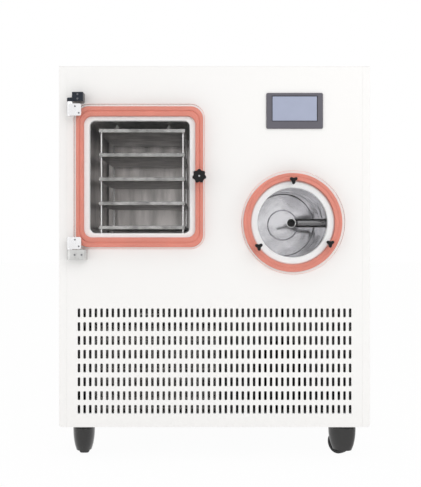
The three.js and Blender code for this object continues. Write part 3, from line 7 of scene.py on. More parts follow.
import logging
import math
from collections.abc import Callable, Iterable, Sequence
from dataclasses import dataclass
from enum import Enum

import bmesh
import bpy
from mathutils import Matrix, Vector


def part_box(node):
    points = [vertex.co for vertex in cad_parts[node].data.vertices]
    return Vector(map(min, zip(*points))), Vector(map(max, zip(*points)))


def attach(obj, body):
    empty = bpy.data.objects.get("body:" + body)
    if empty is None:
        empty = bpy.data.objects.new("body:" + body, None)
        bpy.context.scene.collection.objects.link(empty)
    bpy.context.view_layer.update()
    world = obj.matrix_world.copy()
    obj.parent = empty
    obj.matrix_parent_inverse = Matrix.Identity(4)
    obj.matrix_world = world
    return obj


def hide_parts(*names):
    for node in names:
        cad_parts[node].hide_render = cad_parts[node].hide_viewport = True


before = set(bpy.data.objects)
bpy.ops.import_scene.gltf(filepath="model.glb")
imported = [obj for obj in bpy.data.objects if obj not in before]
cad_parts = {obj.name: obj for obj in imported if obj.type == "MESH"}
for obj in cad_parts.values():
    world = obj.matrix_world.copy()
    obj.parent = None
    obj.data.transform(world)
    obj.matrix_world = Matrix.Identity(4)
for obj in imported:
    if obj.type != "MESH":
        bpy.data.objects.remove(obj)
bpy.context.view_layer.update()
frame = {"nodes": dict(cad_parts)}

LOG = logging.getLogger("freeze_dryer")
Point = tuple[float, float]
Triple = tuple[float, float, float]
Colour = Triple
Span = tuple[float, float]
Socket = bpy.types.NodeSocket

TINY = 1e-6  # under this distance two points are one
OVERCUT = 0.001  # how far a cutter passes the face that it cuts
PLAY = 0.0003  # the gap between a pin and its bore
CREASE = 35.0  # the angle in degrees above which an edge stays sharp
WELD = 0.00001  # under this distance the corners of neighbouring cells are joined
NORMAL_WEIGHT = 80  # how strongly large faces keep their normals


# ---- Places ----


@dataclass(frozen=True)
class Box:
    """The box that a node of the frame fills at rest."""

    low: Vector
    high: Vector

    @classmethod
    def of(cls, node: str) -> "Box":
        """The box of one node of the frame."""
        low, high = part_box(node)
        return cls(Vector(low), Vector(high))

    @property
    def middle(self) -> Vector:
        """The box's centre."""
        return (self.low + self.high) / 2

    @property
    def size(self) -> Vector:
        """The box's three lengths."""
        return self.high - self.low


class Axis(Enum):
    """The axis that an outline is pushed along, with where its two coordinates go."""

    X = "x"
    Y = "y"
    Z = "z"

    def place(self, u: float, v: float, along: float) -> Vector:
        """A point from an outline's two coordinates and its distance along the axis.

        Args:
            u: The outline's first coordinate: X, or Y for an outline pushed along X.
            v: The outline's second coordinate: Z, or Y for an outline pushed along Z.
            along: The distance along the axis.

        Returns:
            The point.
        """
        if self is Axis.X:
            return Vector((along, u, v))
        if self is Axis.Y:
            return Vector((u, along, v))
        return Vector((u, v, along))

    def ring(self, outline: Iterable[Point], along: float) -> list[Vector]:
        """An outline's points at a distance along the axis."""
        return [self.place(u, v, along) for u, v in outline]


FORWARDS, REARWARDS, DOWN = Vector((0, -1, 0)), Vector((0, 1, 0)), Vector((0, 0, -1))


# ---- Outlines ----


def arc(x: float, y: float, radius: float, start: float, end: float, steps: int) -> list[Point]:
    """Points on an arc of so many chords between two angles in degrees, with both its ends."""
    turns = (math.radians(start + (end - start) * i / steps) for i in range(steps + 1))
    return [(x + radius * math.cos(turn), y + radius * math.sin(turn)) for turn in turns]


def circle(x: float, y: float, radius: float, sides: int) -> list[Point]:
    """The corners of a many-sided ring round a point."""
    return arc(x, y, radius, 0, 360, sides)[:-1]


def rectangle(x: float, y: float, width: float, height: float) -> list[Point]:
    """The corners of a rectangle round a point."""
    dx, dy = width / 2, height / 2
    return [(x - dx, y - dy), (x + dx, y - dy), (x + dx, y + dy), (x - dx, y + dy)]


def rounded(
    x: float, y: float, width: float, height: float, radius: float, steps: int = 10
) -> list[Point]:
    """A rectangle round a point, with corners of so many chords."""
    dx, dy = width / 2 - radius, height / 2 - radius
    return [
        *arc(x + dx, y - dy, radius, -90, 0, steps),
        *arc(x + dx, y + dy, radius, 0, 90, steps),
        *arc(x - dx, y + dy, radius, 90, 180, steps),
        *arc(x - dx, y - dy, radius, 180, 270, steps),
    ]


def drawn_in(
    centre: Point,
    size: Triple,
    inset: float,
    steps: int,
    follow: float = 1.0,
) -> list[Point]:
    """A rounded rectangle drawn in by an inset.

    Args:
        centre: Its centre.
        size: Its width, height and corner radius before it is drawn in.
        inset: How far each side moves in.
        steps: The number of chords in each corner.
        follow: The share of the inset that the corner radius loses.

    Returns:
        The outline.
    """
    width, height, corner = size
    return rounded(*centre, width - 2 * inset, height - 2 * inset, corner - inset * follow, steps)


def mirrored(profile: Sequence[Point]) -> list[Point]:
    """A profile of radius and distance, followed by its mirror image beyond the origin."""
    return [*profile, *((radius, -along) for radius, along in reversed(profile))]


def quarter_round(radius: float, steps: int) -> list[Point]:
    """A rounded edge's insets from its side and from its face, starting on the face."""
    turns = (math.radians(90 * i / steps) for i in range(steps + 1))
    return [(radius * (1 - math.sin(turn)), radius * (1 - math.cos(turn))) for turn in turns]


def lobed(
    x: float, y: float, tip: float, valley: float, lobes: int, phase: float, steps: int = 14
) -> list[Point]:
    """A grip's outline, whose radius swings between its tips and its valleys.

    Args:
        x: The centre's first coordinate.
        y: The centre's second coordinate.
        tip: The radius at the tips.
        valley: The radius between the lobes.
        lobes: The number of lobes.
        phase: The angle of the first tip, in radians.
        steps: The number of chords in each lobe.

    Returns:
        The outline, anticlockwise.
    """
    points = []
    for i in range(lobes * steps):
        turn = math.tau * i / (lobes * steps)
        radius = (tip + valley) / 2 + (tip - valley) / 2 * math.cos(lobes * turn)
        points.append((x + radius * math.cos(turn + phase), y + radius * math.sin(turn + phase)))
    return points


# ---- Shapes ----


@dataclass(frozen=True)
class Rounding:
    """How a finished shape's edges are broken."""

    width: float
    segments: int = 2
    angle: float = 32.0


class Form:
    """A closed shape that is being made, in the machine's own frame."""

    def __init__(self) -> None:
        """Starts with nothing."""
        self.mesh = bmesh.new()

    @classmethod
    def of_mesh(cls, mesh: bpy.types.Mesh) -> "Form":
        """A shape from a mesh, with its doubles merged."""
        form = cls()
        form.mesh.from_mesh(mesh)
        bmesh.ops.remove_doubles(form.mesh, verts=form.mesh.verts, dist=TINY)
        return form

    @classmethod
    def of_node(cls, node: str, flat: float = 1.0) -> "Form":
        """A copy of a frame node, with its coplanar triangles joined into whole faces.

        Args:
            node: The node's name.
            flat: The angle under which neighbouring faces are joined, in degrees.

        Returns:
            The shape.
        """
        form = cls.of_mesh(frame["nodes"][node].data)
        bmesh.ops.dissolve_limit(
            form.mesh,
            angle_limit=math.radians(flat),
            verts=form.mesh.verts,
            edges=form.mesh.edges,
            use_dissolve_boundaries=False,
        )
        return form

    @classmethod
    def prism(cls, outline: Sequence[Point], axis: Axis, start: float, end: float) -> "Form":
        """An outline pushed along an axis from a start to an end."""
        return cls().loft([axis.ring(outline, h) for h in (start, end)])

    @classmethod
    def rod(
        cls, axis: Axis, centre: Point, radius: float, sides: int, start: float, end: float
    ) -> "Form":
        """A straight round bar, or the drill for a round hole."""
        return cls.prism(circle(*centre, radius, sides), axis, start, end)

    @classmethod
    def block(cls, low: Iterable[float], high: Iterable[float]) -> "Form":
        """A box between two corners."""
        (x0, y0, z0), (x1, y1, z1) = low, high
        return cls.prism([(x0, y0), (x1, y0), (x1, y1), (x0, y1)], Axis.Z, z0, z1)

    @classmethod
    def turned(cls, profile: Sequence[Point], axis: Axis, centre: Point, sides: int) -> "Form":
        """A profile turned about an axis.

        Args:
            profile: Pairs of radius and distance along the axis, from one end to the other. A
                profile that doesn't reach the axis closes on itself.
            axis: The axis.
            centre: The axis's two other coordinates.
            sides: The number of steps round.

        Returns:
            The shape.
        """
        form = cls()
        rings = [axis.ring(circle(*centre, max(r, 0.0), sides), h) for r, h in profile]
        open_profile = min(profile[0][0], profile[-1][0]) < TINY
        form.loft(rings, cyclic=not open_profile, caps=False)
        return form.merged()

    @classmethod
    def spindle(
        cls,
        axis: Axis,
        centre: Point,
        radius: float,
        sides: int,
        start: float,
        end: float,
        chamfer: float = 0.0,
    ) -> "Form":
        """A turned bar, which may have a chamfer round its far end."""
        rim = [(radius, end - chamfer), (radius - chamfer, end)] if chamfer else [(radius, end)]
        return cls.turned([(0, start), (radius, start), *rim, (0, end)], axis, centre, sides)

    @classmethod
    def swept(
        cls, path: Sequence[Vector], section: Sequence[Point], closed: bool = False
    ) -> "Form":
        """A closed section carried along a path, which may meet its own start."""
        return cls().loft(cls._rings(path, section, closed), cyclic=closed)

    @classmethod
    def pipe(cls, path: Sequence[Vector], outside: float, inside: float, sides: int) -> "Form":
        """A hollow pipe with open ends.

        Args:
            path: The points of the pipe's axis.
            outside: The outer radius.
            inside: The radius of the bore.
            sides: The number of steps round.

        Returns:
            The shape.
        """
        outer = cls._rings(path, circle(0, 0, outside, sides))
        inner = cls._rings(path, circle(0, 0, inside, sides))
        return cls().loft([*outer, *reversed(inner)], cyclic=True)

    @staticmethod
    def _rings(
        path: Sequence[Vector], section: Sequence[Point], closed: bool = False
    ) -> list[list[Vector]]:
        """A section set square to a path at each of its points, without twist."""
        count = len(path)
        rings = []
        side = None
        for i, spot in enumerate(path):
            before = path[i - 1] if closed or i > 0 else spot
            after = path[(i + 1) % count] if closed or i < count - 1 else spot
            ahead = (after - before).normalized()
            if side is None:
                side = ahead.orthogonal().normalized()
            side = (side - ahead * side.dot(ahead)).normalized()
            up = ahead.cross(side)
            rings.append([spot + side * u + up * v for u, v in section])
        return rings

    def loft(
        self, rings: Sequence[Sequence[Vector]], cyclic: bool = False, caps: bool = True
    ) -> "Form":
        """Adds a skin through rings with equally many points.

        Args:
            rings: The rings, in order.
            cyclic: True where the last ring joins the first.
            caps: False where open ends close by themselves.

        Returns:
            This shape.
        """
        loops = [[self.mesh.verts.new(spot) for spot in ring] for ring in rings]
        pairs = list(zip(loops, loops[1:], strict=False))
        if cyclic:
            pairs.append((loops[-1], loops[0]))
        for near, far in pairs:
            self.skin(near, far)
        if caps and not cyclic:
            self.mesh.faces.new(list(reversed(loops[0])))
            self.mesh.faces.new(loops[-1])
        return self.outward()

    def skin(
        self, near: Sequence[bmesh.types.BMVert], far: Sequence[bmesh.types.BMVert]
    ) -> None:
        """Adds the faces between two closed loops of equally many points."""
        for i, start in enumerate(near):
            j = (i + 1) % len(near)
            self.mesh.faces.new((start, near[j], far[j], far[i]))

    def outward(self) -> "Form":
        """Turns every face outwards."""
        bmesh.ops.recalc_face_normals(self.mesh, faces=self.mesh.faces)
        return self

    def quad(self, *corners: Sequence[float]) -> None:
        """Adds one face with points of its own."""
        self.mesh.faces.new([self.mesh.verts.new(corner) for corner in corners])

    def facing(self, way: Callable[[Vector], Vector]) -> "Form":
        """Turns each face towards the way that a rule gives for its middle."""
        for face in self.mesh.faces:
            face.normal_update()
            if face.normal.dot(way(face.calc_center_median())) < 0:
                face.normal_flip()
        return self

    def merged(self) -> "Form":
        """Merges doubles, so that poles and seams are closed."""
        bmesh.ops.remove_doubles(self.mesh, verts=self.mesh.verts, dist=TINY)
        bmesh.ops.dissolve_degenerate(self.mesh, edges=self.mesh.edges, dist=TINY / 10)
        return self.outward()

    def moved(self, matrix: Matrix) -> "Form":
        """Moves or turns the whole shape."""
        self.mesh.transform(matrix)
        return self.outward()

    def with_parts(self, *others: "Form") -> "Form":
        """Adds other shapes as they are, without joining their skins."""
        for other in others:
            mesh = bpy.data.meshes.new("part")
            other.mesh.to_mesh(mesh)
            self.mesh.from_mesh(mesh)
            bpy.data.meshes.remove(mesh)
        return self

    def edges_rounded(
        self, chosen: Callable[[Vector, Vector], bool], radius: float, segments: int = 4
    ) -> "Form":
        """Rounds the edges that a test picks.

        Args:
            chosen: The test, given an edge's two ends.
            radius: The rounding's radius.
            segments: Its number of chords.

        Returns:
            This shape.
        """
        edges = [e for e in self.mesh.edges if chosen(e.verts[0].co, e.verts[1].co)]
        bmesh.ops.bevel(
            self.mesh,
            geom=edges,
            offset=radius,
            offset_type="OFFSET",
            segments=segments,
            profile=0.5,
            affect="EDGES",
            clamp_overlap=True,
        )
        return self

    def _combined(self, operation: str, tools: Sequence["Form"]) -> "Form":
        """Joins or cuts with other shapes by an exact boolean."""
        whole = Form().with_parts(*tools)
        body, tool = self._object("body"), whole._object("tool")
        modifier = body.modifiers.new("combine", "BOOLEAN")
        modifier.operation = operation
        modifier.solver = "EXACT"
        modifier.use_self = len(tools) > 1
        modifier.object = tool
        result = Form.of_mesh(evaluated(body))
        for temporary in (body, tool):
            discard(temporary)
        return result

    def minus(self, *tools: "Form") -> "Form":
        """This shape with others cut out of it."""
        return self._combined("DIFFERENCE", tools)

    def plus(self, *others: "Form") -> "Form":
        """This shape joined with others into one skin."""
        return self._combined("UNION", others)

    def _object(self, name: str) -> bpy.types.Object:
        """A linked object that holds the shape."""
        mesh = bpy.data.meshes.new(name)
        self.mesh.to_mesh(mesh)
        return linked(name, mesh)

    def finished(self, name: str, rounding: Rounding | None, sharp: float) -> bpy.types.Object:
        """The shape as an object with broken edges and smooth, flat-keeping normals.

        Args:
            name: The object's name.
            rounding: How its edges are broken, or None to leave them.
            sharp: The angle above which an edge stays sharp, in degrees.

        Returns:
            The object, with no modifier left on it.
        """
        item = self._object(name)
        if rounding is not None:
            bevel = item.modifiers.new("edges", "BEVEL")
            bevel.width = rounding.width
            bevel.segments = rounding.segments
            bevel.limit_method = "ANGLE"
            bevel.angle_limit = math.radians(rounding.angle)
            bevel.use_clamp_overlap = True
            bake(item)
        smoothed(item, sharp)
        return item


def linked(name: str, data: bpy.types.ID) -> bpy.types.Object:
    """A new object in the scene, for a mesh, a camera or a lamp."""
    item = bpy.data.objects.new(name, data)
    bpy.context.scene.collection.objects.link(item)
    return item


def evaluated(item: bpy.types.Object) -> bpy.types.Mesh:
    """A new mesh that holds an object's evaluated shape."""
    depsgraph = bpy.context.evaluated_depsgraph_get()
    return bpy.data.meshes.new_from_object(
        item.evaluated_get(depsgraph), preserve_all_data_layers=True, depsgraph=depsgraph
    )


def bake(item: bpy.types.Object) -> None:
    """Puts an object's evaluated shape into its mesh and removes its modifiers."""
    shape, old = evaluated(item), item.data
    item.modifiers.clear()
    item.data = shape
    shape.name = item.name
    bpy.data.meshes.remove(old)


def smoothed(item: bpy.types.Object, sharp: float) -> None:
    """Shades an object smooth up to an angle in degrees, with its flat faces kept flat."""
    item.data.shade_smooth()
    item.data.set_sharp_from_angle(angle=math.radians(sharp))
    weighted = item.modifiers.new("normals", "WEIGHTED_NORMAL")
    weighted.keep_sharp = True
    weighted.weight = NORMAL_WEIGHT
    bake(item)


def discard(item: bpy.types.Object) -> None:
    """Removes an object and its mesh."""
    mesh = item.data
    bpy.data.objects.remove(item)
    bpy.data.meshes.remove(mesh)


# ---- Shader expressions ----


class Term:
    """A shader socket that takes part in expressions: each operation adds its Math node."""

    def __init__(self, shader: "Shader", socket: Socket) -> None:
        """Wraps an output socket of a shader's tree."""
        self.shader = shader
        self.socket = socket

    def _math(self, operation: str, first: "Value", second: "Value") -> "Term":
        """The Math node of an operation on two values."""
        return self.shader.term("ShaderNodeMath", {"operation": operation}, {0: first, 1: second})

    def __add__(self, other: "Value") -> "Term":
        """The sum."""
        return self._math("ADD", self, other)

    __radd__ = __add__

    def __sub__(self, other: "Value") -> "Term":
        """The difference."""
        return self._math("SUBTRACT", self, other)

    def __rsub__(self, other: "Value") -> "Term":
        """The difference, with this term taken away."""
        return self._math("SUBTRACT", other, self)

    def __mul__(self, other: "Value") -> "Term":
        """The product."""
        return self._math("MULTIPLY", self, other)

    __rmul__ = __mul__

    def at_most(self, other: "Value") -> "Term":
        """The smaller of this term and another."""
        return self._math("MINIMUM", self, other)

    def at_least(self, other: "Value") -> "Term":
        """The larger of this term and another."""
        return self._math("MAXIMUM", self, other)


Value = Term | float | Sequence[float]
MIX_FIRST, MIX_SECOND, MIX_RESULT = 6, 7, 2  # a Mix node's sockets for colours


class Tree:
    """A node tree whose nodes come from one method."""

    tree: bpy.types.NodeTree

    def node(
        self,
        kind: str,
        settings: dict[str, object] | None = None,
        inputs: dict[str | int, object] | None = None,
    ) -> bpy.types.Node:
        """Adds a node.

        Args:
            kind: The node's type.
            settings: Its properties, set before its sockets.
            inputs: Its sockets' values, or the terms or sockets that feed them.

        Returns:
            The node.
        """
        node = self.tree.nodes.new(kind)
        for label, value in (settings or {}).items():
            setattr(node, label, value)
        for label, value in (inputs or {}).items():
            feed = value.socket if isinstance(value, Term) else value
            if isinstance(feed, Socket):
                self.tree.links.new(feed, node.inputs[label])
            else:
                node.inputs[label].default_value = feed
        return node


class Shader(Tree):
    """The node tree of one material or world."""

    def __init__(self, owner: bpy.types.Material | bpy.types.World) -> None:
        """Starts with an empty tree."""
        self.owner = owner
        owner.use_nodes = True
        self.tree = owner.node_tree
        self.tree.nodes.clear()

    def term(
        self,
        kind: str,
        settings: dict[str, object] | None = None,
        inputs: dict[str | int, Value] | None = None,
        output: str | int = 0,
    ) -> Term:
        """Adds a node and gives one of its outputs as a term."""
        return Term(self, self.node(kind, settings, inputs).outputs[output])

    def spots(self, stretch: Sequence[float] = (1.0, 1.0, 1.0)) -> Term:
        """The surface's own coordinates in metres, stretched."""
        place = self.term("ShaderNodeTexCoord", output="Object")
        return self.term("ShaderNodeMapping", {}, {"Vector": place, "Scale": stretch})

    def noise(self, place: Term, scale: float, detail: float, rough: float = 0.5) -> Term:
        """Soft noise from 0 to 1, with so many blotches in a metre and finer layers on them."""
        return self.term(
            "ShaderNodeTexNoise",
            {},
            {"Vector": place, "Scale": scale, "Detail": detail, "Roughness": rough},
            "Fac",
        )

    def blend(self, factor: Value, first: Value, second: Value) -> Term:
        """A colour between two others."""
        return self.term(
            "ShaderNodeMix",
            {"data_type": "RGBA"},
            {0: factor, MIX_FIRST: first, MIX_SECOND: second},
            MIX_RESULT,
        )

    def uneven(self, factor: Term, colour: Colour, share: float) -> Term:
        """A colour that a term makes darker or lighter by up to a share."""
        return self.blend(factor, shade(colour, 1 - share), shade(colour, 1 + share))

    def spread(self, value: Term, low: float, high: float) -> Term:
        """A term from 0 to 1 spread between two numbers."""
        return value * (high - low) + low

    def steeper(self, value: Term, factor: float) -> Term:
        """Noise with its middle tones pulled apart, kept from 0 to 1."""
        return ((value - 0.5) * factor + 0.5).at_most(1.0).at_least(0.0)

    def bump(self, height: Term, depth: float, strength: float = 1.0) -> Term:
        """Normals that follow a height, of which 1 stands for a depth in metres."""
        inputs = {"Height": height, "Distance": depth, "Strength": strength}
        return self.term("ShaderNodeBump", {}, inputs)

    def surface(self, inputs: dict[str | int, Value]) -> Term:
        """A Principled surface."""
        return self.term("ShaderNodeBsdfPrincipled", {}, inputs)

    def seen(self) -> Term:
        """One for rays from the camera, or through glass, or off a mirror, else nought."""
        rays = self.node("ShaderNodeLightPath")
        kinds = [
            Term(self, rays.outputs[kind])
            for kind in ("Is Camera Ray", "Is Glossy Ray", "Is Transmission Ray")
        ]
        return (kinds[0] + kinds[1] + kinds[2]).at_most(1.0)

    def done(self, surface: Term) -> bpy.types.Material:
        """Shows a surface and gives the material."""
        self.node("ShaderNodeOutputMaterial", {}, {"Surface": surface})
        return self.owner


def shade(colour: Colour, factor: float) -> tuple[float, float, float, float]:
    """A colour made lighter or darker, with its alpha."""
    return (*(min(part * factor, 1.0) for part in colour), 1.0)


# ---- Finishes ----


class Finish:
    """A named surface finish, whose material is made once."""

    name: str
    slot: str

    def build(self, shader: Shader) -> Term:
        """The surface of the finish."""
        raise NotImplementedError

    def material(self) -> bpy.types.Material:
        """The finish's material, made when it is first asked for."""
        label = f"{self.name}_finish"
        known = bpy.data.materials.get(label)
        if known is not None:
            return known
        shader = Shader(bpy.data.materials.new(label))
        return shader.done(self.build(shader))


@dataclass(frozen=True)
class PowderCoat(Finish):
    """Baked powder paint: a faint orange peel and slightly uneven gloss."""

    name: str
    slot: str
    colour: Colour
    gloss: Span = (0.36, 0.46)
    peel: float = 0.00006
    tint: float = 0.02

    def build(self, shader: Shader) -> Term:
        """The paint's surface."""
        place = shader.spots()
        cloud = shader.noise(place, 2.3, 3.0)
        peel = shader.noise(place, 420.0, 1.0)
        return shader.surface({
            "Base Color": shader.uneven(cloud, self.colour, self.tint),
            "Roughness": shader.spread(shader.noise(place, 9.0, 2.0), *self.gloss),
            "Normal": shader.bump(peel, self.peel, 0.5),
        })


@dataclass(frozen=True)
class RolledSteel(Finish):
    """Rolled or brushed metal: streaks along the grain, cloudy patches and slow waves."""

    name: str
    slot: str
    colour: Colour
    grain: Triple
    gloss: Span
    wave: float = 0.0
    streak: float = 0.000004
    smudge: float = 0.06
    patches: Triple = (14.0, 14.0, 14.0)
    contrast: float = 2.2
    metal: float = 1.0

    def build(self, shader: Shader) -> Term:
        """The metal's surface."""
        lines = shader.noise(shader.spots(stretch=self.grain), 1.0, 3.0, 0.7)
        place = shader.spots()
        cloud = shader.noise(shader.spots(stretch=self.patches), 1.0, 3.0)
        waves = shader.noise(place, 9.0, 1.0)
        patchy = shader.steeper(cloud, self.contrast)
        return shader.surface({
            "Base Color": shader.uneven(patchy, self.colour, self.smudge),
            "Metallic": self.metal,
            "Roughness": shader.spread((lines + cloud) * 0.5, *self.gloss),
            "Normal": shader.bump(lines * self.streak + waves * self.wave, 1.0),
        })


@dataclass(frozen=True)
class Galvanised(Finish):
    """Zinc-coated sheet with its spangle."""

    name: str
    slot: str
    colour: Colour

    def build(self, shader: Shader) -> Term:
        """The zinc's surface."""
        spangle = {"Vector": shader.spots(), "Scale": 90.0}
        cells = shader.term("ShaderNodeTexVoronoi", {}, spangle, "Color")
        tone = shader.term("ShaderNodeSeparateColor", {}, {"Color": cells})
        return shader.surface({
            "Base Color": shader.blend(tone, shade(self.colour, 0.8), shade(self.colour, 1.1)),
            "Metallic": 0.85,
            "Roughness": shader.spread(tone, 0.38, 0.55),
        })


@dataclass(frozen=True)
class Moulded(Finish):
    """Moulded rubber or plastic: even colour, fine grain, uneven gloss."""

    name: str
    slot: str
    colour: Colour
    gloss: Span
    grain: float = 700.0
    depth: float = 0.00003
    tint: float = 0.08
    mirror: float = 0.5

    def build(self, shader: Shader) -> Term:
        """The moulding's surface."""
        place = shader.spots()
        cloud = shader.noise(place, 22.0, 3.0)
        return shader.surface({
            "Base Color": shader.uneven(cloud, self.colour, self.tint),
            "Specular IOR Level": self.mirror,
            "Roughness": shader.spread(cloud, *self.gloss),
            "Normal": shader.bump(shader.noise(place, self.grain, 1.0), self.depth, 0.6),
        })


@dataclass(frozen=True)
class ClearAcrylic(Finish):
    """Cast acrylic that lamps shine through, with faint wiping marks."""

    name: str
    slot: str
    colour: Colour = (0.99, 0.995, 0.992)
    passed: Colour = (0.99, 0.992, 0.992)
    gloss: Span = (0.0, 0.02)
    ior: float = 1.49
    mirror: float = 0.3

    def build(self, shader: Shader) -> Term:
        """The acrylic's surface."""
        marks = shader.noise(shader.spots(stretch=(3.0, 3.0, 40.0)), 1.0, 2.0)
        solid = shader.surface({
            "Base Color": (*self.colour, 1.0),
            "Roughness": shader.spread(marks, *self.gloss),
            "IOR": self.ior,
            "Specular Tint": (self.mirror, self.mirror, self.mirror, 1.0),
            "Transmission Weight": 1.0,
        })
        clear = shader.term("ShaderNodeBsdfTransparent", {}, {"Color": (*self.passed, 1.0)})
        lamp = shader.term("ShaderNodeLightPath", output="Is Shadow Ray")
        return shader.term("ShaderNodeMixShader", {}, {0: lamp, 1: solid, 2: clear})


@dataclass(frozen=True)
class Display(Finish):
    """The plain face of a display under its glass, with a faint even haze."""

    name: str
    slot: str
    colour: Colour
    haze: float = 0.04

    def build(self, shader: Shader) -> Term:
        """The display's surface."""
        haze = shader.noise(shader.spots(), 30.0, 2.0)
        return shader.surface({
            "Base Color": shader.uneven(haze, self.colour, self.haze),
            "Roughness": shader.spread(haze, 0.08, 0.14),
        })


WHITE = PowderCoat("white_powder_coat", "white_paint", (0.93, 0.92, 0.905), tint=0.008)
GREY_PAINT = PowderCoat("grey_paint", "grey_paint", (0.40, 0.42, 0.43), (0.42, 0.55))
BLACK_ENAMEL = PowderCoat(
    "black_enamel", "black_enamel", (0.018, 0.019, 0.021), (0.3, 0.42), tint=0.15
)
BLACK_BLOCK = RolledSteel(
    "black_oxide_steel", "black_steel", (0.035, 0.04, 0.05), (900.0, 20.0, 900.0), (0.25, 0.4),
    smudge=0.15,
)
CHAMBER_STEEL = RolledSteel(
    "chamber_steel", "stainless_steel", (0.54, 0.51, 0.50), (160.0, 8.0, 8.0), (0.26, 0.36),
    wave=0.004, smudge=0.35, patches=(26.0, 10.0, 5.0), contrast=3.0,
)
TRAP_STEEL = RolledSteel(
    "trap_steel", "stainless_steel", (0.54, 0.53, 0.555), (300.0, 2.0, 300.0), (0.08, 0.17),
    wave=0.010, smudge=0.26, patches=(11.0, 11.0, 11.0), contrast=2.8,
)
FLANGE_STEEL = RolledSteel(
    "flange_steel", "stainless_steel", (0.985, 0.98, 0.98), (40.0, 40.0, 40.0), (0.34, 0.44),
    smudge=0.01, metal=0.1,
)
RING_STEEL = RolledSteel(
    "ring_steel", "stainless_steel", (0.93, 0.94, 0.95), (40.0, 40.0, 40.0), (0.34, 0.44),
    smudge=0.02, metal=0.25,
)
SHELF_STEEL = RolledSteel(
    "shelf_steel", "stainless_steel", (0.44, 0.42, 0.415), (60.0, 4.0, 60.0), (0.28, 0.36),
    wave=0.003, smudge=0.4, patches=(14.0, 18.0, 8.0), contrast=3.0,
)
SHELF_LIP = RolledSteel(
    "shelf_lip", "stainless_steel", (0.34, 0.335, 0.33), (3.0, 300.0, 300.0), (0.2, 0.3),
    smudge=0.35, patches=(26.0, 8.0, 20.0), contrast=3.0,
)
# Dark steel for the tubes: its dark tone is painted shade, standing for the dark trap that the
# suction tube reflects.
TUBE_STEEL_PAINTED_SHADE = RolledSteel(
    "tube_steel", "polished_steel", (0.15, 0.148, 0.152), (60.0, 60.0, 60.0), (0.12, 0.22)
)
# Nearly black steel for the pipe's inner wall: painted shade that stands for the dark inside of the
# bore.
TUBE_BORE_PAINTED_SHADE = RolledSteel(
    "tube_bore", "polished_steel", (0.030, 0.028, 0.030), (60.0, 60.0, 60.0), (0.35, 0.5)
)
LEAF_STEEL = RolledSteel(
    "leaf_steel", "polished_steel", (0.86, 0.86, 0.87), (500.0, 30.0, 500.0), (0.2, 0.34)
)
BRIGHT_BLOCK = RolledSteel(
    "bright_block", "polished_steel", (0.60, 0.60, 0.59), (500.0, 30.0, 500.0), (0.22, 0.36),
    smudge=0.12, patches=(60.0, 60.0, 60.0),
)
KNOB_INSERT = RolledSteel(
    "knob_insert", "polished_steel", (0.42, 0.42, 0.43), (80.0, 80.0, 80.0), (0.3, 0.45)
)
DARK_SCREW = RolledSteel(
    "dark_screw", "black_steel", (0.20, 0.20, 0.215), (90.0, 90.0, 90.0), (0.3, 0.45)
)
POLISHED = RolledSteel(
    "polished_steel", "polished_steel", (0.78, 0.78, 0.79), (60.0, 600.0, 60.0), (0.08, 0.2),
    smudge=0.04,
)
ZINC = Galvanised("galvanised_sheet", "galvanised_sheet", (0.52, 0.54, 0.55))
SILICONE = Moulded(
    "salmon_silicone", "silicone_seal", (0.79, 0.255, 0.19), (0.42, 0.56), tint=0.1
)
SEAL_LINE = Moulded("seal_line", "silicone_seal", (0.82, 0.66, 0.64), (0.45, 0.58), tint=0.04)
BLACK_PLASTIC = Moulded(
    "black_plastic", "black_plastic", (0.010, 0.0095, 0.010), (0.26, 0.38), mirror=0.2
)
HOOD_PLASTIC = Moulded(
    "hood_plastic", "black_plastic", (0.013, 0.012, 0.0115), (0.14, 0.24), mirror=0.6
)
# Black seal round the display glass. It is also painted shade, standing for the shadow line in the
# screen's recess.
SEAL_BLACK_AND_SHADE = Moulded("seal_black", "black_plastic", (0.02, 0.02, 0.024), (0.5, 0.6), mirror=0.2)
# Near-white steel for the pipe's mouth ring: a painted highlight on the rim, far brighter than the
# tube that it belongs to.
MOUTH_STEEL_PAINTED_HIGHLIGHT = RolledSteel(
    "mouth_steel", "polished_steel", (0.96, 0.96, 0.97), (80.0, 80.0, 80.0), (0.2, 0.3),
    smudge=0.02,
)
TYRE = Moulded(
    "wheel_rubber", "wheel_rubber", (0.03, 0.03, 0.031), (0.6, 0.8), 300.0, 0.00008, 0.2
)
WHITE_PLASTIC = Moulded("white_ptfe", "ptfe", (0.86, 0.86, 0.84), (0.35, 0.5), tint=0.03)
BEZEL = Moulded(
    "bezel_plastic", "screen_bezel", (0.125, 0.12, 0.142), (0.28, 0.4), 900.0, 0.00002,
    mirror=0.3,
)
SCREEN = Display("display_glass", "screen_display", (0.38, 0.415, 0.54))
ALUMINIUM = RolledSteel(
    "fin_aluminium", "fin_aluminium", (0.84, 0.825, 0.80), (30.0, 200.0, 800.0), (0.4, 0.55),
    smudge=0.1,
)
TUBE_ALLOY = RolledSteel(
    "alloy_tube", "fin_aluminium", (0.34, 0.33, 0.32), (60.0, 60.0, 60.0), (0.3, 0.45)
)
BRASS = RolledSteel(
    "valve_brass", "valve_brass", (0.70, 0.52, 0.25), (80.0, 80.0, 80.0), (0.2, 0.34)
)
RED_PLASTIC = Moulded("red_plastic", "red_plastic", (0.48, 0.022, 0.016), (0.3, 0.42))
CLEAR = ClearAcrylic("clear_acrylic", "clear_acrylic")


# ---- Repeating patterns ----


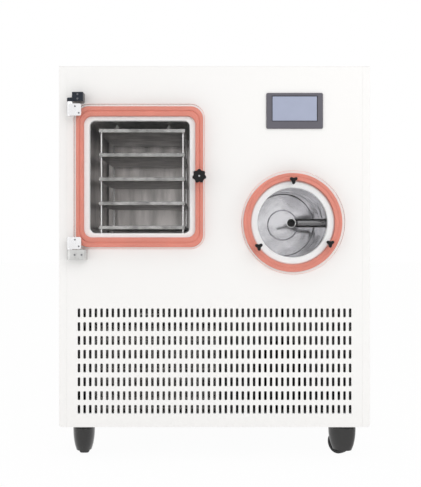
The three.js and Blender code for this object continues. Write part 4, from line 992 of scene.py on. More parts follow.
class Pattern(Tree):
    """A Geometry Nodes tree with named inputs, run once and baked to a plain mesh."""

    def __init__(self, name: str) -> None:
        """Starts a tree with a geometry input and a geometry output."""
        self.tree = bpy.data.node_groups.new(name, "GeometryNodeTree")
        self.identifiers: dict[str, str] = {}
        self._socket("Geometry", "NodeSocketGeometry")
        self.tree.interface.new_socket(
            "Geometry", in_out="OUTPUT", socket_type="NodeSocketGeometry"
        )
        self.inputs = self.tree.nodes.new("NodeGroupInput")

    def _socket(self, label: str, kind: str) -> bpy.types.NodeTreeInterfaceSocket:
        """Adds a named input to the tree."""
        made = self.tree.interface.new_socket(label, in_out="INPUT", socket_type=kind)
        self.identifiers[label] = made.identifier
        return made

    def size(self, label: str, kind: str) -> Socket:
        """Adds a named input of a kind, such as Float or Vector, and gives its socket."""
        self._socket(label, f"NodeSocket{kind}")
        return self.inputs.outputs[label]

    def shape(self, label: str) -> Socket:
        """Adds an object input and gives the geometry of that object."""
        info = self.node("GeometryNodeObjectInfo", {}, {"Object": self.size(label, "Object")})
        return info.outputs["Geometry"]

    def set_on(self, points: Socket, shape: Socket, **more: Socket) -> Socket:
        """Sets a shape on each point; more of the node's inputs may be named."""
        inputs = {"Points": points, "Instance": shape, **more}
        return self.node("GeometryNodeInstanceOnPoints", {}, inputs).outputs["Instances"]

    def end(self, geometry: Socket, finish: Finish, weld: float | None = None) -> None:
        """Ends the tree: instances are made real, welded if asked, and given their material."""
        real = self.node("GeometryNodeRealizeInstances", {}, {"Geometry": geometry})
        last = real.outputs["Geometry"]
        if weld is not None:
            near = {"Geometry": last, "Distance": weld}
            last = self.node("GeometryNodeMergeByDistance", {}, near).outputs["Geometry"]
        dress = {"Geometry": last, "Material": finish.material()}
        dressed = self.node("GeometryNodeSetMaterial", {}, dress)
        output = self.tree.nodes.new("NodeGroupOutput")
        self.tree.links.new(dressed.outputs["Geometry"], output.inputs["Geometry"])

    def run(self, values: dict[str, object], start: bpy.types.Mesh | None = None) -> bpy.types.Mesh:
        """Runs the tree.

        Args:
            values: The named inputs' values.
            start: The mesh that the tree starts from, or None for an empty one.

        Returns:
            The baked mesh.
        """
        holder = linked("holder", start or bpy.data.meshes.new("holder"))
        modifier = holder.modifiers.new("pattern", "NODES")
        modifier.node_group = self.tree
        for label, value in values.items():
            modifier[self.identifiers[label]] = value
        shape = evaluated(holder)
        holder.modifiers.remove(modifier)
        discard(holder)
        return shape


class Rows(Pattern):
    """One shape repeated in columns and rows, with an optional border joined round it."""

    def __init__(self, finish: Finish, bordered: bool = False) -> None:
        """Builds the tree.

        Args:
            finish: What the result is made of.
            bordered: True where a border mesh is joined to the repeated shapes.
        """
        super().__init__("rows")
        across = {
            "Count": self.size("Columns", "Int"),
            "Start Location": self.size("First", "Vector"),
            "Offset": self.size("Column step", "Vector"),
        }
        line = self.node("GeometryNodeMeshLine", {"mode": "OFFSET"}, across)
        up = {"Count": self.size("Rows", "Int"), "Offset": self.size("Row step", "Vector")}
        lift = self.node("GeometryNodeMeshLine", {"mode": "OFFSET"}, up)
        grid = self.set_on(line.outputs["Mesh"], lift.outputs["Mesh"])
        spots = self.node("GeometryNodeRealizeInstances", {}, {"Geometry": grid})
        copies = self.set_on(spots.outputs["Geometry"], self.shape("Shape"))
        if bordered:
            joined = self.node("GeometryNodeJoinGeometry")
            for part in (copies, self.shape("Border")):
                self.tree.links.new(part, joined.inputs["Geometry"])
            copies = joined.outputs["Geometry"]
        self.end(copies, finish, WELD if bordered else None)


class Studs(Pattern):
    """One small shape, set on points so that its top faces each point's own direction."""

    def __init__(self, finish: Finish) -> None:
        """Builds the tree for a finish."""
        super().__init__("studs")
        facing = self.node(
            "GeometryNodeInputNamedAttribute", {"data_type": "FLOAT_VECTOR"}, {"Name": "facing"}
        )
        turn = self.node(
            "FunctionNodeAlignRotationToVector",
            {"axis": "Z"},
            {"Vector": facing.outputs["Attribute"]},
        )
        points, shape = self.inputs.outputs["Geometry"], self.shape("Shape")
        self.end(self.set_on(points, shape, Rotation=turn.outputs["Rotation"]), finish)


# ---- Sub-assemblies ----


CORNERS = ("front_left", "front_right", "rear_left", "rear_right")
CASTER_TURNS = {"front_right": 42.0}  # degrees from straight back
SHEET_EDGE = Rounding(0.0003, 1)


class Body(Enum):
    """The bodies of the frame that carry one assembly each."""

    CABINET = "cabinet"
    DOOR = "door"
    DOOR_KNOB = "door_knob"
    FAN = "fan"
    LEVER = "drain_lever"


class Assembly:
    """A sub-assembly: it builds its pieces and hangs them on the frame's bodies."""

    def build(self) -> None:
        """Builds every piece."""
        raise NotImplementedError

    def hang(
        self,
        item: bpy.types.Object,
        finish: Finish,
        body: str = Body.CABINET.value,
        replaces: Sequence[str] = (),
    ) -> None:
        """Dresses a piece and hangs it on a body.

        Args:
            item: The piece.
            finish: What it is made of.
            body: The body that it moves with.
            replaces: The frame's nodes that it stands for.
        """
        item.data.materials.clear()
        item.data.materials.append(finish.material())
        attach(item, body)
        if replaces:
            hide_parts(*replaces)
        LOG.info("%s: %d faces of %s on %s", item.name, len(item.data.polygons), finish.name, body)

    def add(
        self,
        name: str,
        form: Form,
        finish: Finish,
        rounding: Rounding | None = None,
        sharp: float = CREASE,
        body: str = Body.CABINET.value,
        replaces: Sequence[str] = (),
    ) -> None:
        """Finishes a shape, then dresses and hangs it."""
        self.hang(form.finished(name, rounding, sharp), finish, body, replaces)

    def add_sheet(
        self, name: str, node: str, finish: Finish, rounding: Rounding = SHEET_EDGE
    ) -> None:
        """Hangs a sheet that its frame node already gives in full, with its edges broken."""
        self.add(name, Form.of_node(node), finish, rounding, replaces=(node,))

    def repeat(
        self, name: str, shape: Form, finish: Finish, counts: tuple[int, int],
        first: Sequence[float], steps: tuple[Sequence[float], Sequence[float]],
        border: Form | None = None, rounding: Rounding | None = None,
        replaces: Sequence[str] = (),
    ) -> None:
        """Repeats a shape in columns and rows, and hangs the result as one piece.

        Args:
            name: The piece's name.
            shape: The shape that is repeated, about the origin.
            finish: What it is made of.
            counts: The numbers of columns and rows.
            first: Where the first copy goes.
            steps: The steps from column to column and from row to row.
            border: A shape joined round the copies.
            rounding: How the shape's edges are broken.
            replaces: The frame's nodes that it stands for.
        """
        pattern = Rows(finish, border is not None)
        values = {
            "Columns": counts[0],
            "Rows": counts[1],
            "First": tuple(first),
            "Column step": tuple(steps[0]),
            "Row step": tuple(steps[1]),
            "Shape": shape.finished("shape", rounding, CREASE),
        }
        if border is not None:
            values["Border"] = border.finished("border", None, CREASE)
        whole = self._whole(name, pattern.run(values), values)
        self.hang(whole, finish, replaces=replaces)

    def fasten(
        self,
        name: str,
        head: Form,
        finish: Finish,
        spots: Sequence[Sequence[float]],
        way: Vector,
        body: str = Body.CABINET.value,
    ) -> None:
        """Sets a fastener's head on points, and hangs them all as one piece.

        Args:
            name: The piece's name.
            head: The head, standing on the origin along Z.
            finish: What it is made of.
            spots: Each head's place.
            way: The direction that the heads face.
            body: The body that it moves with.
        """
        start = bpy.data.meshes.new("spots")
        start.from_pydata(spots, [], [])
        facing = start.attributes.new("facing", "FLOAT_VECTOR", "POINT")
        facing.data.foreach_set("vector", [*way] * len(spots))
        values = {"Shape": head.finished("head", None, 30.0)}
        mesh = Studs(finish).run(values, start)
        self.hang(self._whole(name, mesh, values), finish, body)

    def _whole(
        self, name: str, mesh: bpy.types.Mesh, values: dict[str, object]
    ) -> bpy.types.Object:
        """An object for a pattern's mesh; the shapes that the pattern repeated are removed."""
        for value in values.values():
            if isinstance(value, bpy.types.Object):
                discard(value)
        mesh.name = name
        item = linked(name, mesh)
        smoothed(item, CREASE)
        return item


def pan_head(radius: float, height: float, slot: float) -> Form:
    """A pan head with a cross recess, standing on the origin along Z.

    Args:
        radius: The head's radius.
        height: Its height.
        slot: The recess's half length.

    Returns:
        The head.
    """
    head = Form.turned(
        [(0, 0), (radius, 0), (radius, height * 0.45), (radius * 0.86, height * 0.85),
         (radius * 0.55, height), (0, height)],
        Axis.Z, (0, 0), 20,
    )
    half = slot * 0.22
    bars = [
        Form.block((-a, -b, height * 0.45), (a, b, height * 2))
        for a, b in ((slot, half), (half, slot))
    ]
    return head.minus(bars[0].plus(bars[1]))


def socket_head(radius: float, height: float, key: float) -> Form:
    """A cylinder head with a hexagon socket, standing on the origin along Z.

    Args:
        radius: The head's radius.
        height: Its height.
        key: The socket's radius over its corners.

    Returns:
        The head.
    """
    edge = radius * 0.12
    head = Form.spindle(Axis.Z, (0, 0), radius, 24, 0, height, edge)
    return head.minus(Form.rod(Axis.Z, (0, 0), key, 6, height * 0.4, height * 2))


@dataclass
class Ring:
    """A band between two rounded rectangles round one centre, seen from the front."""

    x: float
    z: float
    outer: Triple
    inner: Triple

    def at(self, share: float, y: float) -> list[Vector]:
        """A line of the band, a share of the way from its outer to its inner edge."""
        size = (a + (b - a) * share for a, b in zip(self.outer, self.inner, strict=True))
        return Axis.Y.ring(rounded(self.x, self.z, *size, 14), y)

    def moulded(self, section: Sequence[Point]) -> Form:
        """The band with a section given as pairs of share and depth, closed on itself."""
        return Form().loft([self.at(share, y) for share, y in section], cyclic=True)


@dataclass
class Cabinet(Assembly):
    """The folded cabinet: side panels, lid, upper front sheet, tray, deck and rear panel."""

    sheet: float = 0.002
    bend: float = 0.010
    fold: float = 0.0028
    returns: float = 0.025
    foot: float = 0.020
    closer: float = 0.00012
    chamber_cut: Triple = (0.4046, 0.4486, 0.0393)
    trap_cut: float = 0.1576
    screen_cut: Point = (0.1686, 0.1016)
    louvres: tuple[int, int] = (2, 9)
    louvre_pitch: Point = (0.130, 0.028)
    louvre_first: Point = (-0.255, 0.183)
    side_screws: int = 5
    side_screw_x: float = 0.463
    side_screw_inset: float = 0.03
    edge_screws: int = 4
    edge_screw_first: float = -0.3
    edge_screw_pitch: float = 0.2
    edge_screw_inset: float = 0.012

    def build(self) -> None:
        """Builds the sheets and their screws."""
        for side, node in ((-1, "left_side_panel"), (1, "right_side_panel")):
            self.add(node + "_sheet", self.side_panel(side, Box.of(node)), WHITE, replaces=(node,))
        self.add("lid_sheet", self.lid(), WHITE, Rounding(0.0009, 3, 60), replaces=("top_panel",))
        self.add("front_sheet", self.front_sheet(), WHITE, replaces=("front_fascia",))
        self.add_sheet("rear_sheet", "rear_panel", WHITE)
        self.add_sheet("tray_sheet", "base_tray", ZINC, Rounding(0.0008, 2))
        self.add_sheet("deck_sheet", "deck_plate", ZINC)
        self.louvre_hoods()
        self.screws()

    def side_panel(self, side: int, box: Box) -> Form:
        """A side folded round the front, the rear and the foot of the cabinet.

        Args:
            side: -1 for the left side, 1 for the right.
            box: The panel's box.

        Returns:
            The panel.
        """
        low, high = box.low, box.high
        edge = high.x if side > 0 else -low.x
        bend, sheet = self.bend, self.sheet
        turn = (edge - bend, low.z + bend)
        over = sheet / 2
        outer = [
            (edge - self.returns, low.z), *arc(*turn, bend, -90, 0, 8),
            (edge, high.z), (edge - self.returns, high.z),
        ]
        inner = [
            (edge - self.returns - over, low.z - over), (edge - self.foot, low.z - over),
            (edge - self.foot, low.z + sheet), *arc(*turn, bend - sheet, -90, 0, 8),
            (edge - sheet, high.z + over), (edge - self.returns - over, high.z + over),
        ]
        ends = (low.y, high.y)

        def is_fold(a: Vector, b: Vector) -> bool:
            """True for an edge where the side turns round the front or the rear."""
            face = any(abs(a.y - end) < TINY and abs(b.y - end) < TINY for end in ends)
            out = all(p.x > edge - bend - TINY and p.x > edge - self.returns + TINY for p in (a, b))
            return face and out and min(a.z, b.z) < high.z - TINY

        solid = Form.prism(outer, Axis.Y, *ends).edges_rounded(is_fold, self.fold, 5)
        panel = solid.minus(Form.prism(inner, Axis.Y, low.y + sheet, high.y - sheet))
        return panel if side > 0 else panel.moved(Matrix.Scale(-1, 4, (1, 0, 0)))

    def lid(self) -> Form:
        """The lid with its corners slightly rounded."""
        box = Box.of("top_panel")
        return Form.of_node("top_panel").edges_rounded(
            lambda a, b: abs(a.z - b.z) > TINY
            and min(a.z, b.z) > box.high.z - self.sheet - TINY
            and abs(abs(a.x) - box.high.x) < TINY,
            0.0015,
            4,
        )

    def front_sheet(self) -> Form:
        """The upper front sheet with its three openings."""
        box = Box.of("front_fascia")
        flange, screen = Box.of("chamber_shell").middle, Box.of("screen_housing").middle
        trap = Box.of("trap_vessel").middle
        ends = (box.low.y - self.sheet, box.high.y + self.sheet)
        low = box.low - Vector((self.closer, 0, self.closer))
        high = box.high + Vector((self.closer, 0, self.closer))
        return Form.block(low, high).minus(
            Form.prism(rounded(flange.x, flange.z, *self.chamber_cut), Axis.Y, *ends),
            Form.rod(Axis.Y, (trap.x, trap.z), self.trap_cut, 128, *ends),
            Form.prism(rectangle(screen.x, screen.z, *self.screen_cut), Axis.Y, *ends),
        )

    def louvre_hoods(self) -> None:
        """The pressed hoods over the rear panel's air slots."""
        back = Box.of("rear_panel").high.y
        outer = [(-0.0005, 0.0085), (0.0012, 0.0085), (0.0066, -0.0040), (0.0066, -0.0075),
                 (-0.0005, -0.0075)]
        inner = [(-0.002, 0.0060), (0.0010, 0.0060), (0.0054, -0.0045), (0.0054, -0.009),
                 (-0.002, -0.009)]
        hood, hollow = (
            Form.prism(outline, Axis.X, -half, half)
            for outline, half in ((outer, 0.059), (inner, 0.0575))
        )
        self.repeat(
            "louvre_hoods", hood.minus(hollow), WHITE, self.louvres,
            (self.louvre_first[0], back, self.louvre_first[1]),
            ((self.louvre_pitch[0], 0, 0), (0, 0, self.louvre_pitch[1])),
            rounding=Rounding(0.0012, 3, 25),
        )

    def screws(self) -> None:
        """Screws that hold the rear panel and the side panels' rear folds."""
        panel = Box.of("rear_panel")
        back, low, high = panel.high.y, panel.low.z, panel.high.z
        inset, span = self.side_screw_inset, high - low - 2 * self.side_screw_inset
        spots = [
            (x, back, low + inset + span * i / (self.side_screws - 1))
            for x in (-self.side_screw_x, self.side_screw_x) for i in range(self.side_screws)
        ]
        spots += [
            (self.edge_screw_first + self.edge_screw_pitch * i, back, z)
            for i in range(self.edge_screws)
            for z in (low + self.edge_screw_inset, high - self.edge_screw_inset)
        ]
        head = pan_head(0.0042, 0.0026, 0.0023)
        self.fasten("rear_panel_screws", head, POLISHED, spots, REARWARDS)


@dataclass
class VentPanel(Assembly):
    """The lower front sheet: rows of upright air slots cut through it."""

    columns: int = 49
    rows: int = 8
    pitch: Point = (0.01815, 0.0443)
    slot: Point = (0.0083, 0.0284)
    corner: float = 0.0024
    chamfer: float = 0.0004
    first_row: float = 0.160
    closer: float = 0.00012

    def build(self) -> None:
        """Builds the slots and the plain margin round them as one sheet."""
        box = Box.of("vent_panel")
        first = -self.pitch[0] * (self.columns - 1) / 2
        self.repeat(
            "vent_sheet", self.cell(box.size.y), WHITE, (self.columns, self.rows),
            (first, box.low.y, self.first_row),
            ((self.pitch[0], 0, 0), (0, 0, self.pitch[1])),
            border=self.margin(box), replaces=("vent_panel",),
        )

    def cell(self, depth: float) -> Form:
        """One slot with the sheet round it, open where the next cell joins.

        Args:
            depth: The sheet's thickness.

        Returns:
            The cell, with its front face at zero.
        """
        form = Form()
        width, height = self.pitch
        corners = [(0.5, -0.5), (0.5, 0.5), (-0.5, 0.5), (-0.5, -0.5)]

        def loop(grown: float, y: float) -> list[bmesh.types.BMVert]:
            """The slot's outline at a depth."""
            outline = rounded(
                0, 0, self.slot[0] + 2 * grown, self.slot[1] + 2 * grown, self.corner + grown, 2
            )
            return [form.mesh.verts.new((u, y, v)) for u, v in outline]

        rings = [loop(self.chamfer, 0), loop(0, self.chamfer), loop(0, depth)]
        for near, far in zip(rings, rings[1:], strict=False):
            form.skin(near, far)
        for ring, y in ((rings[0], 0.0), (rings[2], depth)):
            outer = [form.mesh.verts.new((u * width, y, v * height)) for u, v in corners]
            for k, corner in enumerate(outer):
                part = ring[3 * k: 3 * k + 3]
                form.mesh.faces.new((corner, part[1], part[0]))
                form.mesh.faces.new((corner, part[2], part[1]))
                following = (k + 1) % 4
                form.mesh.faces.new((corner, outer[following], ring[3 * following], part[2]))
        return form.facing(lambda c: Vector((-c.x, c.y - depth / 2, -c.z)))

    def margin(self, box: Box) -> Form:
        """The plain sheet round the slots, with a point wherever a cell's corner meets it."""
        form = Form()
        across = [(i - self.columns / 2) * self.pitch[0] for i in range(self.columns + 1)]
        base = self.first_row - self.pitch[1] / 2
        up = [base + i * self.pitch[1] for i in range(self.rows + 1)]
        xs = [box.low.x - self.closer, *across, box.high.x + self.closer]
        zs = [box.low.z, *up, box.high.z + self.closer]
        for y in (box.low.y, box.high.y):
            for i in range(len(xs) - 1):
                for k in range(len(zs) - 1):
                    if 0 < i < len(xs) - 2 and 0 < k < len(zs) - 2:
                        continue
                    form.quad(
                        (xs[i], y, zs[k]), (xs[i + 1], y, zs[k]),
                        (xs[i + 1], y, zs[k + 1]), (xs[i], y, zs[k + 1]),
                    )
        near, far = box.low.y, box.high.y
        for x in (xs[0], xs[-1]):
            for a, b in zip(zs, zs[1:], strict=False):
                form.quad((x, near, a), (x, near, b), (x, far, b), (x, far, a))
        for z in (zs[0], zs[-1]):
            for a, b in zip(xs, xs[1:], strict=False):
                form.quad((a, near, z), (b, near, z), (b, far, z), (a, far, z))
        return form.facing(lambda c: c - box.middle)


@dataclass
class Chamber(Assembly):
    """The shelf chamber: its liner, sealing flange, stand and moulded door seal."""

    wall: float = 0.006
    opening: Triple = (0.321, 0.361, 0.018)
    flange: Triple = (0.404, 0.448, 0.039)
    shell: Triple = (0.333, 0.373, 0.024)
    fillet: float = 0.008
    lip: float = 0.0014
    duct: Triple = (-0.03855, 0.790, 0.029)
    seal: Triple = (0.406, 0.450, 0.040)
    seal_inside: Triple = (0.356, 0.387, 0.026)

    def build(self) -> None:
        """Builds the chamber's pieces."""
        box = Box.of("chamber_shell")
        x, z = box.middle.x, box.middle.z
        front = box.low.y
        flange = Ring(x, z, self.flange, self.opening)
        behind = front + 0.010
        self.add(
            "chamber_flange",
            flange.moulded([
                (0, behind), (0, front + 0.0006), (0.015, front), (0.96, front),
                (0.985, front + self.lip * 0.3), (1, front + self.lip), (1, behind),
            ]),
            FLANGE_STEEL,
        )
        self.add("chamber_liner", self.liner(x, z, behind, box.high.y), CHAMBER_STEEL, sharp=50,
                 replaces=("chamber_shell",))
        self.add("chamber_weld", self.weld(x, z, behind), POLISHED, sharp=60)
        self.add_sheet("stand_sheet", "chamber_stand", ZINC)
        seal = Box.of("door_gasket")
        near, far = seal.low.y, seal.high.y
        self.add(
            "door_seal",
            Ring(seal.middle.x, seal.middle.z, self.seal, self.seal_inside).moulded([
                (0, far), (0, near + 0.0030), (0.012, near + 0.0012), (0.05, near),
                (0.36, near), (0.41, near + 0.0006), (0.45, near + 0.0026), (0.50, near + 0.0026),
                (0.54, near + 0.0006), (0.59, near), (0.95, near), (0.988, near + 0.0012),
                (1, near + 0.0030), (1, far),
            ]),
            SILICONE, sharp=70, replaces=("door_gasket",),
        )

    def liner(self, x: float, z: float, front: float, back: float) -> Form:
        """The box behind the flange, with rounded rear corners and the duct's hole.

        Args:
            x: The chamber's middle.
            z: The chamber's mid-height.
            front: Where the liner starts, at the back of the flange.
            back: Its rear face.

        Returns:
            The liner.
        """
        floor, side = back - self.wall, x + self.opening[0] / 2

        def inside(inset: float, y: float) -> list[Vector]:
            """The hollow's outline, drawn in by an inset."""
            return Axis.Y.ring(drawn_in((x, z), self.opening, inset, 14), y)

        rounding = [inside(b, floor - a) for a, b in reversed(quarter_round(self.fillet, 6))]
        outside = Ring(x, z, self.shell, self.shell)
        rings = [*rounding, inside(0, front), outside.at(0, front), outside.at(0, back)]
        hole = Form.rod(
            Axis.X, self.duct[:2], self.duct[2], 40, side - self.wall, side + 2 * self.wall
        )
        return Form().loft(rings).minus(hole)

    def weld(self, x: float, z: float, y: float) -> Form:
        """The dressed weld where the liner meets the flange."""
        path = Axis.Y.ring(drawn_in((x, z), self.opening, 0.0002, 8), y)
        return Form.swept(path, circle(0, 0, 0.0009, 8), closed=True)


@dataclass
class Shelves(Assembly):
    """Five heated plates on four tie rods, hung from the ceiling by two cones."""

    count: int = 5
    pitch: float = 0.079
    lip: float = 0.003
    rim: float = 0.012
    recess: float = 0.003
    rod: float = 0.0035
    rod_inset: float = 0.0065
    rod_setback: float = 0.020
    cone_neck: float = 0.0018
    cone_steps: tuple[Triple, ...] = (
        (0.0072, 0.003, 0.0138), (0.0052, 0.0138, 0.0166), (0.0034, 0.0166, 0.0194),
    )

    def build(self) -> None:
        """Builds the plates, the rods and the cones."""
        box = Box.of("shelf_1")
        steps = ((0, 0, 0), (0, 0, self.pitch))
        self.repeat(
            "shelf_plates", self.plate(box), SHELF_STEEL, (1, self.count), (0, 0, 0), steps,
            rounding=Rounding(0.0004, 2),
            replaces=tuple(f"shelf_{i + 1}" for i in range(self.count)),
        )
        lip = Form.block(box.low, (box.high.x, box.low.y + self.lip, box.high.z))
        self.repeat(
            "shelf_lips", lip, SHELF_LIP, (1, self.count), (0, 0, 0), steps,
            rounding=Rounding(0.0012, 3),
        )
        for where in CORNERS:
            node = f"shelf_rod_{where}"
            rod, edge = Box.of(node), 0.0006
            profile = [
                (0, rod.low.z), (self.rod - edge, rod.low.z), (self.rod, rod.low.z + edge),
                (self.rod, rod.high.z - edge), (self.rod - edge, rod.high.z), (0, rod.high.z),
            ]
            bar = Form.turned(profile, Axis.Z, (rod.middle.x, rod.middle.y), 28)
            self.add(f"tie_rod_{where}", bar, POLISHED, replaces=(node,))
        for side in ("left", "right"):
            node = f"shelf_hanger_{side}"
            self.add(f"hanger_cone_{side}", self.cone(Box.of(node)), WHITE_PLASTIC, sharp=40,
                     replaces=(node,))

    def plate(self, box: Box) -> Form:
        """The lowest shelf: a plate with a shallow recess and a notch for each rod."""
        low, high = box.low + Vector((0, self.lip, 0)), box.high
        ends = (low.z - OVERCUT, high.z + OVERCUT)
        inside = (box.size.x - 2 * self.rim, box.size.y - 2 * self.rim, 0.004)
        hollow = Form.prism(
            rounded(box.middle.x, box.middle.y, *inside, 4),
            Axis.Z, high.z - self.recess, high.z + self.rim,
        )
        clear = self.rod + 0.0004
        notches = []
        for side in (-1, 1):
            x = box.middle.x + side * (box.size.x / 2 - self.rod_inset)
            for y in (box.low.y + self.rod_setback, high.y - self.rod_setback):
                way = Form.block(
                    (min(x, x + side * 0.02), y - clear, ends[0]),
                    (max(x, x + side * 0.02), y + clear, ends[1]),
                )
                notches += [way, Form.rod(Axis.Z, (x, y), clear, 24, *ends)]
        return Form.block(low, high).minus(hollow).minus(*notches)

    def cone(self, box: Box) -> Form:
        """A turned hanger that steps in from a broad foot to a thin neck."""
        x, y = box.middle.x, box.middle.y
        high, edge = box.high.z, 0.0003
        profile = [(0, box.low.z + 0.003)]
        for radius, base, top in self.cone_steps:
            low, end = box.low.z + base, box.low.z + top
            inner = radius - edge
            profile += [(inner, low), (radius, low + edge), (radius, end - edge), (inner, end)]
        profile += [(self.cone_neck, profile[-1][1]), (self.cone_neck, high), (0, high)]
        return Form.turned(profile, Axis.Z, (x, y), 32)


@dataclass
class Door(Assembly):
    """The clear chamber door with its star knob, and the blocks and leaves that it hangs on."""

    size: Triple = (0.416, 0.461, 0.045)
    edge: float = 0.0016
    knob: Point = (-0.0485, 0.906)
    knob_bore: float = 0.00435
    knob_depth: float = 0.0093
    grip: Point = (0.0225, 0.0186)
    lobes: int = 7
    hub: float = 0.011
    shank: float = 0.004
    barrel: float = 0.011
    pin: float = 0.004
    leaf: Triple = (0.040, 0.038, 0.005)
    leaf_sheet: float = 0.004
    ear: float = 0.012
    blind: float = 0.0146
    pin_out: float = 0.014

    def build(self) -> None:
        """Builds the door, the knob and the hinges."""
        box = Box.of("chamber_door")
        self.add("door_pane", self.pane(box), CLEAR, sharp=25, body=Body.DOOR.value,
                 replaces=("chamber_door",))
        self.star_knob(Box.of("door_knob"))
        self.blocks()
        for which in ("upper", "lower"):
            self.leaf_of(which, box)

    def pane(self, box: Box) -> Form:
        """The pane with polished, slightly broken edges and a blind bore for the knob."""
        near, far, edge = box.low.y, box.high.y, self.edge

        def line(inset: float, y: float) -> list[Vector]:
            """The pane's outline, drawn in by an inset."""
            return Axis.Y.ring(drawn_in((box.middle.x, box.middle.z), self.size, inset, 20), y)

        broken = quarter_round(edge, 4)
        rings = [*(line(a, near + b) for a, b in broken), *(line(b, far - a) for a, b in broken)]
        bore = Form.rod(
            Axis.Y, self.knob, self.knob_bore, 32, near - edge, near + self.knob_depth
        )
        return Form().loft(rings).minus(bore)

    def star_knob(self, box: Box) -> None:
        """The seven-lobed knob with its metal insert."""
        near, far = box.low.y, box.high.y
        grip_back = near + 0.014
        hub_back = grip_back + 0.010
        tip, valley = self.grip

        def line(inset: float, y: float) -> list[Vector]:
            """The grip's outline, drawn in by an inset."""
            outline = lobed(*self.knob, tip - inset, valley - inset, self.lobes, math.pi / 2)
            return Axis.Y.ring(outline, y)

        front = [(0.0034, 0), (0.0018, 0.0004), (0.0007, 0.0014), (0, 0.0030)]
        rear = [(0, 0.0020), (0.0005, 0.0008), (0.0015, 0)]
        rings = [line(inset, near + depth) for inset, depth in front]
        rings += [line(inset, grip_back - depth) for inset, depth in rear]
        dish = Form.turned(
            [(0, near - 0.001), (0.0062, near - 0.001), (0.0052, near + 0.0012),
             (0.0031, near + 0.0014), (0.0031, near + 0.003), (0, near + 0.003)],
            Axis.Y, self.knob, 40,
        )
        hub = Form.turned(
            [(0, grip_back - 0.001), (self.hub + 0.001, grip_back - 0.001),
             (self.hub, grip_back + 0.002), (self.hub, hub_back - 0.0006),
             (self.hub - 0.0006, hub_back), (0, hub_back)],
            Axis.Y, self.knob, 48,
        )
        self.add("star_knob_grip", Form().loft(rings).minus(dish).with_parts(hub), BLACK_PLASTIC,
                 sharp=50, body=Body.DOOR_KNOB.value, replaces=("door_knob",))
        insert = Form.turned(
            [(0, near + 0.0012), (0.0024, near + 0.0012), (0.0030, near + 0.0016),
             (0.0030, near + 0.0030), (0, near + 0.0030)],
            Axis.Y, self.knob, 32,
        )
        shank = Form.spindle(Axis.Y, self.knob, self.shank, 28, hub_back - 0.001, far, 0.0005)
        self.add("star_knob_insert", insert.with_parts(shank), KNOB_INSERT, sharp=40,
                 body=Body.DOOR_KNOB.value)

    def blocks(self) -> None:
        """The black upper block, the bright lower block and their screws."""
        upper, lower = Box.of("hinge_block_upper"), Box.of("hinge_block_lower")
        axis, bore = self.hinge_axis(), self.pin + PLAY
        body = Form.block((upper.high.x - 0.035, upper.low.y, upper.low.z), upper.high)
        inner = upper.high.x - 0.034
        ear = Form.prism(
            [*arc(*axis, self.barrel, 90, 270, 20), (inner, axis[1] - self.barrel),
             (inner, axis[1] + self.barrel)],
            Axis.Z, upper.low.z, upper.low.z + self.ear,
        )
        through = Form.rod(Axis.Z, axis, bore, 28, upper.low.z - OVERCUT, upper.high.z)
        self.add("hinge_block_top", body.plus(ear).minus(through), BLACK_BLOCK,
                 Rounding(0.0012, 3), replaces=("hinge_block_upper",))
        chamfer, right = 0.008, lower.high.x
        foot = Form.prism(
            [*arc(*axis, self.barrel, 180, 270, 12), (right - chamfer, lower.low.y),
             (right, lower.low.y + chamfer), (right, lower.high.y), (lower.low.x, lower.high.y)],
            Axis.Z, lower.low.z, lower.high.z,
        )
        top = lower.high.z
        blind = Form.rod(Axis.Z, axis, bore, 28, top - self.blind, top + OVERCUT)
        self.add("hinge_block_foot", foot.minus(blind), BRIGHT_BLOCK, Rounding(0.0009, 3),
                 replaces=("hinge_block_lower",))
        head = socket_head(0.0030, 0.0016, 0.0017)
        spots = [
            (x, lower.low.y, lower.middle.z) for x in (lower.low.x + 0.026, right - 0.014)
        ]
        self.fasten("hinge_foot_screws", head, DARK_SCREW, spots, FORWARDS)
        x, inset = upper.high.x - 0.0175, 0.0075
        spots = [(x, upper.low.y, z) for z in (upper.low.z + inset, upper.high.z - inset)]
        self.fasten("hinge_top_screws", head, DARK_SCREW, spots, FORWARDS)

    def hinge_axis(self) -> Point:
        """The hinges' common axis, seen from above."""
        block = Box.of("hinge_block_lower")
        return (block.low.x + self.barrel, block.low.y + self.barrel)

    def leaf_of(self, which: str, door: Box) -> None:
        """One door leaf with its barrel and pin.

        Args:
            which: "upper" or "lower".
            door: The door's box.
        """
        node = Box.of(f"hinge_arm_{which}")
        axis = self.hinge_axis()
        width, height, corner = self.leaf
        left = axis[0] - self.pin
        low = door.high.z - height if which == "upper" else door.low.z
        near = door.low.y - PLAY - self.leaf_sheet
        plate = Form.prism(
            rounded(left + width / 2, low + height / 2, width, height, corner, 8),
            Axis.Y, near, near + self.leaf_sheet,
        )
        bridge = Form.block(
            (left, near + 0.001, low + corner), (axis[0] + self.pin, axis[1], low + height - corner)
        )
        if which == "upper":
            barrel, pin = (low, node.high.z - self.pin_out), (low, node.high.z)
        else:
            barrel, pin = (node.low.z + self.pin_out, low + height), (node.low.z, low + height)
        sleeve = Form.rod(Axis.Z, axis, self.barrel, 48, *barrel)
        leaf = plate.plus(bridge, sleeve, Form.rod(Axis.Z, axis, self.pin, 28, *pin))
        self.add(f"door_leaf_{which}", leaf, LEAF_STEEL, Rounding(0.0006, 2), body=Body.DOOR.value,
                 replaces=(f"hinge_arm_{which}",))
        spots = [
            (left + 0.0265 + du, near, low + height / 2 + dv)
            for du, dv in ((-0.006, 0.0105), (0.006, -0.0105))
        ]
        head = socket_head(0.0027, 0.0016, 0.0015)
        self.fasten(f"door_leaf_screws_{which}", head, DARK_SCREW, spots, FORWARDS,
                    Body.DOOR.value)


